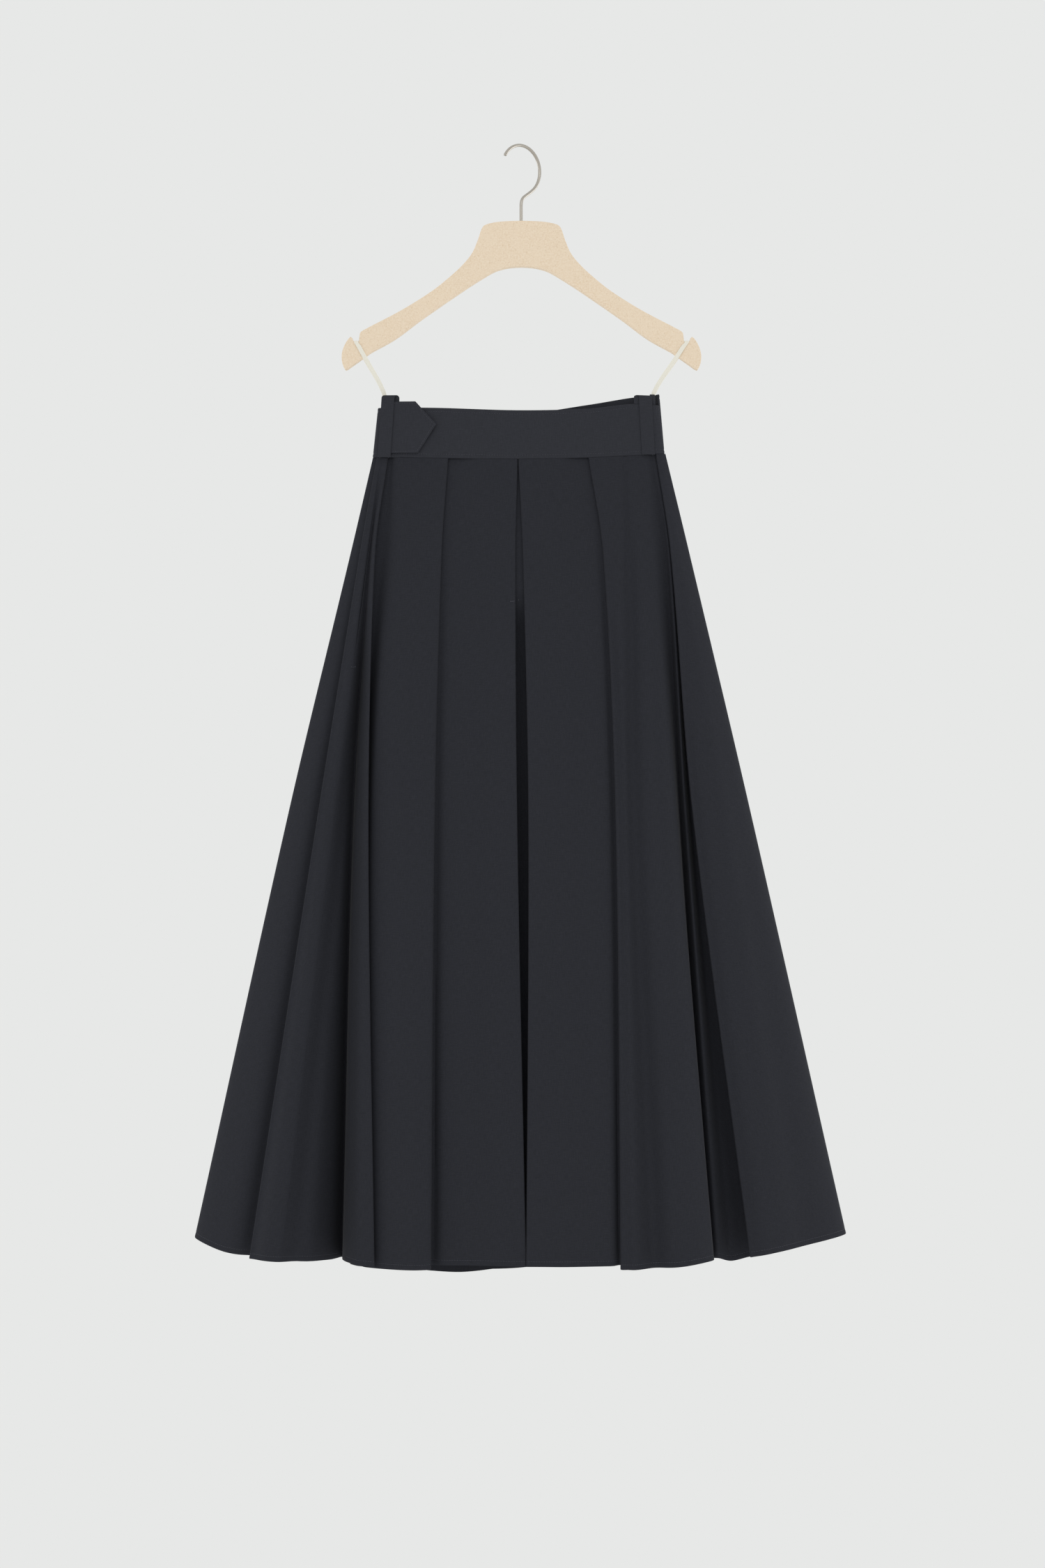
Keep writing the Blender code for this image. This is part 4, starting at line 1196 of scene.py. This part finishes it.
# %% [markdown]
# ## The hanging loops
#
# Each loop is a narrow cotton tape sewn inside the waistband at the side. It goes up in front of the
# hanger's arm, over the notch's floor and down behind, pulled straight by the skirt's weight.

# %% Make the hanging loops
HANGER_CENTRE_X = 0.4
HANGER_THICKNESS = 12.0
NOTCH_INNER = 193.6
NOTCH_OUTER = 199.4
NOTCH_FLOOR_Z = -232.4
TAPE = 0.9
TAPE_WIDTH = 5.2
TAPE_FEET_X = {"left": -163.5, "right": 158.0}
TAPE_FOOT_Z = -326.0
TAPE_LEAVE_Z = -315.0
TAPE_MOUTH_Z = -293.0
TAPE_MOUTH_Y = 1.4
TAPE_OUT_Z = -252.0
TAPE_REST = 6.0
TAPE_BEND = 2.2
TAPE_SLACK = 0.3
TAPE_INSET = 0.35
TAPE_PARTS = 5
TAPE_ARC = 8


def tape_strand(side, foot_x, half):
    """One side of a loop, from inside the waistband up to the top of the notch's floor."""
    top_x = HANGER_CENTRE_X + side * (NOTCH_INNER + NOTCH_OUTER) / 2
    over_y = HANGER_THICKNESS / 2 + SEAM + TAPE / 2 + TAPE_SLACK
    top_z = NOTCH_FLOOR_Z + SEAM + TAPE / 2
    lean = Vector((top_x - foot_x, 0, NOTCH_FLOOR_Z - TAPE_MOUTH_Z)).normalized()
    flat = Vector((lean.z, 0, -lean.x))
    inside = -BAND / 2 - SEAM - TAPE / 2 - TAPE_INSET
    if side > 0 > half:
        inside -= LAP - TAPE_INSET / 2

    def at(z, y):
        share = (z - TAPE_MOUTH_Z) / (NOTCH_FLOOR_Z - TAPE_MOUTH_Z)
        return Vector((foot_x + (top_x - foot_x) * share, half * y, z))

    low = on_band(foot_x, TAPE_FOOT_Z, inside, half)
    high = on_band(foot_x, TAPE_LEAVE_Z, inside, half)
    along = on_band(foot_x + 1, TAPE_FOOT_Z, inside, half) - on_band(foot_x - 1, TAPE_FOOT_Z, inside, half)
    along.normalize()
    knots = [
        (low, along),
        (high, along),
        (at(TAPE_MOUTH_Z, TAPE_MOUTH_Y), flat),
        (at(TAPE_OUT_Z, over_y), flat),
        (at(NOTCH_FLOOR_Z - TAPE_REST, over_y), flat),
    ]
    path = smooth_path([place for place, _ in knots], TAPE_PARTS)
    ways = smooth_path([way for _, way in knots], TAPE_PARTS)
    for k in range(TAPE_ARC + 1):
        turn = math.pi / 2 * k / TAPE_ARC
        y = half * (over_y - TAPE_BEND + TAPE_BEND * math.cos(turn))
        path.append(Vector((top_x, y, top_z - TAPE_BEND + TAPE_BEND * math.sin(turn))))
        ways.append(Vector((1, 0, 0)))
    return path, ways


def make_loop(hand, foot_x):
    """A whole loop: up the front, over the notch and down the back."""
    side = math.copysign(1, foot_x)
    front, front_ways = tape_strand(side, foot_x, -1)
    back, back_ways = tape_strand(side, foot_x, 1)
    ways = front_ways + back_ways[::-1]
    return ribbon(f"tape_loop_{hand}", front + back[::-1], ways, TAPE_WIDTH, TAPE, tape_look)


loops = [make_loop(hand, foot_x) for hand, foot_x in TAPE_FEET_X.items()]
print("loops:", [(tape.name, len(tape.data.polygons)) for tape in loops])

# %% [markdown]
# ## The hanger
#
# The body is one flat board, 12 mm thick, with a shaped shoulder, long arms and a notch near each end. Its
# outline is a smooth curve through a short table of points, mirrored, and a Bevel rounds both rims as the
# mould does.

# %% Make the hanger's body
HANGER_TOP = (
    (0.0, -88.5), (25.0, -89.6), (41.0, -92.6), (46.5, -96.5), (52.3, -112.5), (59.0, -127.5),
    (69.5, -140.5), (83.0, -153.3), (106.0, -171.8), (143.0, -195.0), (189.0, -219.2), (192.2, -222.0),
)
HANGER_END = (
    (201.2, -228.2), (203.6, -226.8), (209.5, -234.5), (213.6, -246.0), (213.4, -257.0), (209.6, -265.6),
    (206.5, -265.0),
)
HANGER_BOTTOM = (
    (179.0, -245.2), (150.0, -229.0), (119.0, -206.0), (69.0, -171.5), (46.0, -156.8), (30.0, -148.0),
    (14.0, -144.0), (0.0, -143.0),
)
HANGER_EDGE = 2.6
HANGER_EDGE_PARTS = 5
HANGER_EDGE_ANGLE = math.radians(86)
OUTLINE_PARTS = 7


def smooth_outline(rows):
    points = curve_points([Vector(row) for row in rows], [OUTLINE_PARTS] * (len(rows) - 1))
    return [(p.x, p.y) for p in points] + [rows[-1]]


def hanger_outline():
    """The hanger's outline, the right half first and then its mirror image."""
    notch = [(NOTCH_INNER, NOTCH_FLOOR_Z), (NOTCH_OUTER, NOTCH_FLOOR_Z)]
    half = smooth_outline(HANGER_TOP) + notch + smooth_outline(HANGER_END) + smooth_outline(HANGER_BOTTOM)
    mirrored = [(-out, z) for out, z in reversed(half[1:-1])]
    return half + mirrored


def make_hanger():
    mesh = bmesh.new()
    half = HANGER_THICKNESS / 2
    rim = [mesh.verts.new(Vector((HANGER_CENTRE_X + out, -half, z)) * MM) for out, z in hanger_outline()]
    face = mesh.faces.new(rim)
    pulled = bmesh.ops.extrude_face_region(mesh, geom=[face])
    moved = [v for v in pulled["geom"] if isinstance(v, bmesh.types.BMVert)]
    bmesh.ops.translate(mesh, verts=moved, vec=Vector((0, HANGER_THICKNESS * MM, 0)))
    body = finished("hanger_board", mesh, wood_look, 40)
    rounding = body.modifiers.new("rounded rims", "BEVEL")
    rounding.width = HANGER_EDGE * MM
    rounding.segments = HANGER_EDGE_PARTS
    rounding.limit_method = "ANGLE"
    rounding.angle_limit = HANGER_EDGE_ANGLE
    rounding.harden_normals = True
    return body


hanger = make_hanger()
print("outline points:", len(hanger_outline()))

# %% [markdown]
# ## The hook
#
# The hook is round wire, bent round a former and let into the board. Its plane is turned about 40 degrees
# from the board's, with the tip to the front left. A round section is carried along its line, and its end is
# cut square with the burr taken off.

# %% Make the hook
HOOK_RADIUS = 29.0
HOOK_WIRE = 1.9
HOOK_TURN = math.radians(40.0)
HOOK_TIP_ANGLE = math.radians(150.0)
HOOK_LEAVE_ANGLE = math.radians(-52.0)
HOOK_STEPS = 60
HOOK_NECK_DROP = 22.0
HOOK_LEAVE_PULL = 17.0
HOOK_NECK_PULL = 13.6
HOOK_NECK_STEPS = 26
HOOK_FOOT = 6.0
WIRE_SIDES = 24
WIRE_CHAMFER = 0.4


def hook_line():
    """The middle of the hook's wire in its own plane, as distance along the plane and height."""
    centre_z = HOOK_WIRE - HOOK_RADIUS
    points = []
    for k in range(HOOK_STEPS + 1):
        angle = HOOK_TIP_ANGLE + (HOOK_LEAVE_ANGLE - HOOK_TIP_ANGLE) * k / HOOK_STEPS
        arm = Vector((math.cos(angle), math.sin(angle))) * HOOK_RADIUS
        points.append(Vector((arm.x, centre_z + arm.y)))
    leave = points[-1]
    tangent = Vector((math.sin(HOOK_LEAVE_ANGLE), -math.cos(HOOK_LEAVE_ANGLE)))
    neck = Vector((0.0, leave.y - HOOK_NECK_DROP))
    for k in range(1, HOOK_NECK_STEPS + 1):
        s = k / HOOK_NECK_STEPS
        a = leave * (1 - s) ** 3
        b = (leave + tangent * HOOK_LEAVE_PULL) * (3 * s * (1 - s) ** 2)
        c = (neck + Vector((0.0, HOOK_NECK_PULL))) * (3 * s * s * (1 - s))
        points.append(a + b + c + neck * s**3)
    points.append(Vector((0.0, HANGER_TOP[0][1] - HOOK_FOOT)))
    return points


def make_hook():
    across = Vector((math.cos(HOOK_TURN), math.sin(HOOK_TURN), 0))
    up = Vector((0, 0, 1))
    side = across.cross(up)
    line = hook_line()
    ends = (line[1] - line[0]).normalized() * WIRE_CHAMFER
    line.insert(1, line[0] + ends)
    sections, marks = [], []
    for here, run, ahead in along_path(line):
        normal = Vector((-ahead.y, ahead.x)).normalized()
        centre = across * here.x + up * here.y
        out = across * normal.x + up * normal.y
        radius = HOOK_WIRE - (WIRE_CHAMFER if not sections else 0.0)
        ring, row = [], []
        for k in range(WIRE_SIDES):
            angle = 2 * math.pi * k / WIRE_SIDES
            ring.append(centre + (out * math.cos(angle) + side * math.sin(angle)) * radius)
            row.append((angle * HOOK_WIRE, run))
        sections.append(ring)
        marks.append(row)
    return loft("hook_wire", sections, marks, nickel, 35)


hook = make_hook()
print("hook faces:", len(hook.data.polygons))

# %% [markdown]
# ## The stitches
#
# Topstitching repeats along a line, so Geometry Nodes makes it. The tree takes a line of edges, spaces points
# along it at the stitch length and sets one slim thread on each, turned along the line. It is converted to a
# plain mesh at the end. A stitch is 2.4 mm long with a short gap, and its thread is drawn at 0.5 mm, a
# little thicker than the real 0.3 mm, so that it shows.

# %% The stitch tree
STITCH_PITCH = 3.0
STITCH_LENGTH = 2.4
THREAD = 0.5


def stitch_tree():
    """Slim threads set at a pitch along a line of edges."""
    tree = bpy.data.node_groups.new("stitches along a line", "GeometryNodeTree")
    for name, kind in (
        ("Line", "Geometry"),
        ("Stitch pitch", "Float"),
        ("Stitch length", "Float"),
        ("Thread thickness", "Float"),
        ("Thread", "Material"),
    ):
        tree.interface.new_socket(name, in_out="INPUT", socket_type=f"NodeSocket{kind}")
    tree.interface.new_socket("Stitches", in_out="OUTPUT", socket_type="NodeSocketGeometry")
    given = add_node(tree, "NodeGroupInput").outputs
    line = add_node(tree, "GeometryNodeMeshToCurve", {"Mesh": given["Line"]}).outputs["Curve"]
    spacing = {"Curve": line, "Length": given["Stitch pitch"]}
    spaced = add_node(tree, "GeometryNodeCurveToPoints", spacing, mode="LENGTH").outputs
    way = {"Vector": spaced["Tangent"]}
    turned = add_node(tree, "FunctionNodeAlignRotationToVector", way, axis="Z").outputs["Rotation"]
    ball = {"Segments": 6, "Rings": 4, "Radius": 0.5}
    thread = add_node(tree, "GeometryNodeMeshUVSphere", ball).outputs["Mesh"]
    thick = given["Thread thickness"]
    lengths = {"X": thick, "Y": thick, "Z": given["Stitch length"]}
    size = add_node(tree, "ShaderNodeCombineXYZ", lengths).outputs["Vector"]
    place = {"Points": spaced["Points"], "Instance": thread, "Rotation": turned, "Scale": size}
    placed = add_node(tree, "GeometryNodeInstanceOnPoints", place).outputs["Instances"]
    real = add_node(tree, "GeometryNodeRealizeInstances", {"Geometry": placed}).outputs["Geometry"]
    finish = {"Geometry": real, "Material": given["Thread"]}
    coloured = add_node(tree, "GeometryNodeSetMaterial", finish).outputs["Geometry"]
    add_node(tree, "NodeGroupOutput", {"Stitches": coloured})
    return tree


STITCHES = stitch_tree()


def sewn(name, lines, pitch=STITCH_PITCH, length=STITCH_LENGTH, thickness=THREAD):
    """A plain mesh of stitches along several lines of points in mm."""
    data = bpy.data.meshes.new(name + " line")
    verts = [point * MM for line in lines for point in line]
    edges = []
    start = 0
    for line in lines:
        edges += [(start + k, start + k + 1) for k in range(len(line) - 1)]
        start += len(line)
    data.from_pydata(verts, edges, [])
    holder = add_object(name + " line", data)
    modifier = holder.modifiers.new("stitches", "NODES")
    modifier.node_group = STITCHES
    values = {"Stitch pitch": pitch * MM, "Stitch length": length * MM, "Thread thickness": thickness * MM}
    values["Thread"] = thread_look
    for item in STITCHES.interface.items_tree:
        if item.name in values and item.in_out == "INPUT":
            modifier[item.identifier] = values[item.name]
    shown = holder.evaluated_get(bpy.context.evaluated_depsgraph_get())
    made = add_object(name, bpy.data.meshes.new_from_object(shown))
    bpy.data.objects.remove(holder, do_unlink=True)
    made.data.shade_smooth()
    return made


print("stitch tree nodes:", len(STITCHES.nodes))

# %% [markdown]
# ## Where the stitches go
#
# The hem is stitched once round, 6 mm up. The band has a row along each edge, the tab one row round its
# point and the carriers two rows each. Short bars of close, packed stitches hold the pocket's end and the
# fly's. Their thread is painted near-black, as painted shade where the packed stitches sink into the cloth.


# %% Lines to sew along
BAND_LINE_PARTS = 240
BAND_LINE_END_U = 0.992
BAND_THREAD_OUT = 0.95
TAB_LINE_START = 4
TAB_LINE_STEP = 1.5
TAB_LINE_POINT_IN = 1.02
THREAD_SUNK = 0.1
CARRIER_THREAD_SUNK = 0.08


def ring_at(t):
    """The number of the ring that is nearest to t."""
    return min(range(len(LEVELS)), key=lambda r: abs(LEVELS[r] - t))


def hem_line(number):
    """The hem's stitching on the right side of one panel."""
    return [point.copy() for point in GRIDS[number][0][ring_at(1 - HEM_STITCH / HEM_LENGTH)]]


def band_line(side, from_bottom):
    """A row of stitches round one half of the waistband, along its bottom or its top edge."""
    line = []
    for k in range(BAND_LINE_PARTS + 1):
        u = BAND_LINE_END_U * math.sin(math.pi / 2 * (2 * k / BAND_LINE_PARTS - 1))
        bottom, top = band_edges(u, side)
        height = top - bottom
        up = BAND_STITCH if from_bottom else height - BAND_STITCH
        line.append(band_point(u, up / height, side, BAND_THREAD_OUT + pucker(u + side, up, height)))
    return line


def tab_line():
    """Round the tab's free edges, TAB_STITCH inside them."""
    a, point, b = TAB_CORNERS
    slant_up = TAB_STITCH / math.sin(math.acos((point - a).normalized().x))
    slant_down = TAB_STITCH / math.sin(math.acos(-(b - point).normalized().x))
    shoulder_z = TAB_TOP_Z - TAB_STITCH
    foot_z = TAB_BOTTOM_Z + TAB_STITCH
    corners = [
        Vector((tab_root(TAB_TOP_Z) + TAB_LINE_START, shoulder_z)),
        Vector((tab_end(shoulder_z) - slant_up, shoulder_z)),
        Vector((TAB_POINT_X - slant_up * TAB_LINE_POINT_IN, TAB_POINT_Z)),
        Vector((tab_end(foot_z) - slant_down, foot_z)),
        Vector((tab_root(TAB_BOTTOM_Z) + TAB_LINE_START, foot_z)),
    ]
    line = []
    for one, two in zip(corners, corners[1:]):
        steps = max(int((two - one).length / TAB_LINE_STEP), 1)
        places = [one.lerp(two, k / steps) for k in range(steps)]
        line += [tab_surface(here.x, here.y, TAB - THREAD_SUNK) for here in places]
    return line


def carrier_lines(carrier):
    """The two rows of stitches along a carrier."""
    path, level = carrier_path(carrier)
    across = level.normalized()
    lines = []
    for side in (-1, 1):
        line = []
        for i, here in enumerate(path[:-1]):
            face = (path[i + 1] - path[max(i - 1, 0)]).cross(level).normalized()
            inset = across * side * (CARRIER_WIDTH / 2 - CARRIER_STITCH)
            line.append(here + inset + face * (CARRIER / 2 - CARRIER_THREAD_SUNK))
        lines.append(line)
    return lines


print("points along the tab's stitching:", len(tab_line()))

# %% Sew the skirt
hem_stitches = [
    sewn(node.replace("skirt", "hem_stitches"), [hem_line(number)]) for number, (node, _) in enumerate(PANELS)
]
band_stitches = [
    sewn(f"band_stitches_{where}", [band_line(side, True), band_line(side, False)])
    for where, side in (("front", -1), ("back", 1))
]
tab_stitches = sewn("belt_point_stitches", [tab_line()])
carrier_stitches = [sewn(f"carrier_stitches_{carrier.hand}", carrier_lines(carrier)) for carrier in CARRIERS]
stitching = hem_stitches + band_stitches + [tab_stitches] + carrier_stitches
print("stitch faces:", sum(len(piece.data.polygons) for piece in stitching))


# %% Bar tacks
FLY_END = 0.179
FLY_TACK_START = -5.0
FLY_TACK_END = 0.3
FLY_TACK_HALF = 0.8
FLY_SEARCH = 3.0
POCKET_TACK_HALF_LENGTH = 3.5
POCKET_TACK_HALF = 0.9
TACK_PITCH = 0.4
TACK_THREAD = 0.45
TACK_OUT = CLOTH / 2 + 0.15
LEG_OVERLAP = 1.15
# Painted shade: the bar tacks' thread is the same polyester painted near-black, for the shade where the packed
# stitches sink into the cloth.
shaded_tack_thread = plain_look("navy polyester thread, painted shade", "191a1f", 0.8)


def bar_tack(name, start, end, half, out):
    """A short bar of close zigzag stitches between two points, with a leg in its middle at each stitch."""
    along = end - start
    legs = max(int(along.length / TACK_PITCH), 2)
    line = []
    for k in range(legs + 1):
        side = 1 if k % 2 else -1
        line.append(start + along * (k / legs) + Vector((0, 0, half)) * side + out * TACK_OUT)
    leg = (line[1] - line[0]).length
    tack = sewn(name, [[(line[0] + line[1]) / 2] + line[1:]], leg, leg * LEG_OVERLAP, TACK_THREAD)
    tack.data.materials[0] = shaded_tack_thread
    return tack


def pocket_end():
    """The point of the left side seam where the pocket opening ends, the way out and the way along."""
    points = RINGS[ring_at(POCKET_END)][0]
    return points[0].copy(), outward(points, 0).normalized(), (points[2] - points[0]).normalized()


def fly_end():
    """The point on the centre fold's front face where the tack that closes the fly is sewn."""
    fold = FOLDS[(LEFT, "centre fold")]
    x = line_x(fold, FLY_END)
    points, starts = RINGS[ring_at(FLY_END)]
    near = [point for point in points[: starts[1]] if abs(point.x - x) < FLY_SEARCH]
    return Vector((x, min(point.y for point in near), fold_height(fold, FLY_END)))


pocket_place, pocket_out, pocket_along = pocket_end()
reach = pocket_along * POCKET_TACK_HALF_LENGTH
pocket_tack = bar_tack(
    "pocket_tack", pocket_place - reach, pocket_place + reach, POCKET_TACK_HALF, pocket_out
)
fly_place = fly_end()
fly_tack = bar_tack(
    "fly_tack",
    fly_place + Vector((FLY_TACK_START, 0, 0)),
    fly_place + Vector((FLY_TACK_END, 0, 0)),
    FLY_TACK_HALF,
    Vector((0, -1, 0)),
)
print("pocket ends at, mm:", [round(c, 1) for c in pocket_place])
print("fly ends at, mm:", [round(c, 1) for c in fly_place])

# %% [markdown]
# ## Put every piece on the body
#
# Every piece rides on the one body and takes the place of the plain solid it was made from.

# %% Ride and replace
for piece, (node, _) in zip(panels, PANELS):
    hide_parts(node)
for piece, node, slot in (
    (bands[0], "waistband_front", "band_cloth"),
    (bands[1], "waistband_back", "band_cloth"),
    (lap, "waistband_back", "band_cloth"),
    (tab, "belt_tab", "band_cloth"),
    (carriers[0], "carrier_left", "band_cloth"),
    (carriers[1], "carrier_right", "band_cloth"),
    (loops[0], "hanging_loop_left", "tape"),
    (loops[1], "hanging_loop_right", "tape"),
    (hanger, "hanger_body", "pressed_wood"),
    (hook, "hanger_hook", "nickel_wire"),
):
    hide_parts(node)
everything = panels + bands + carriers + loops + stitching + [tab, lap, hanger, hook, pocket_tack, fly_tack]
for piece in everything:
    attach(piece, "root")
for number, piece in enumerate(panels):
    hem, area = panel_cuts[number]
print("pieces:", len(everything))
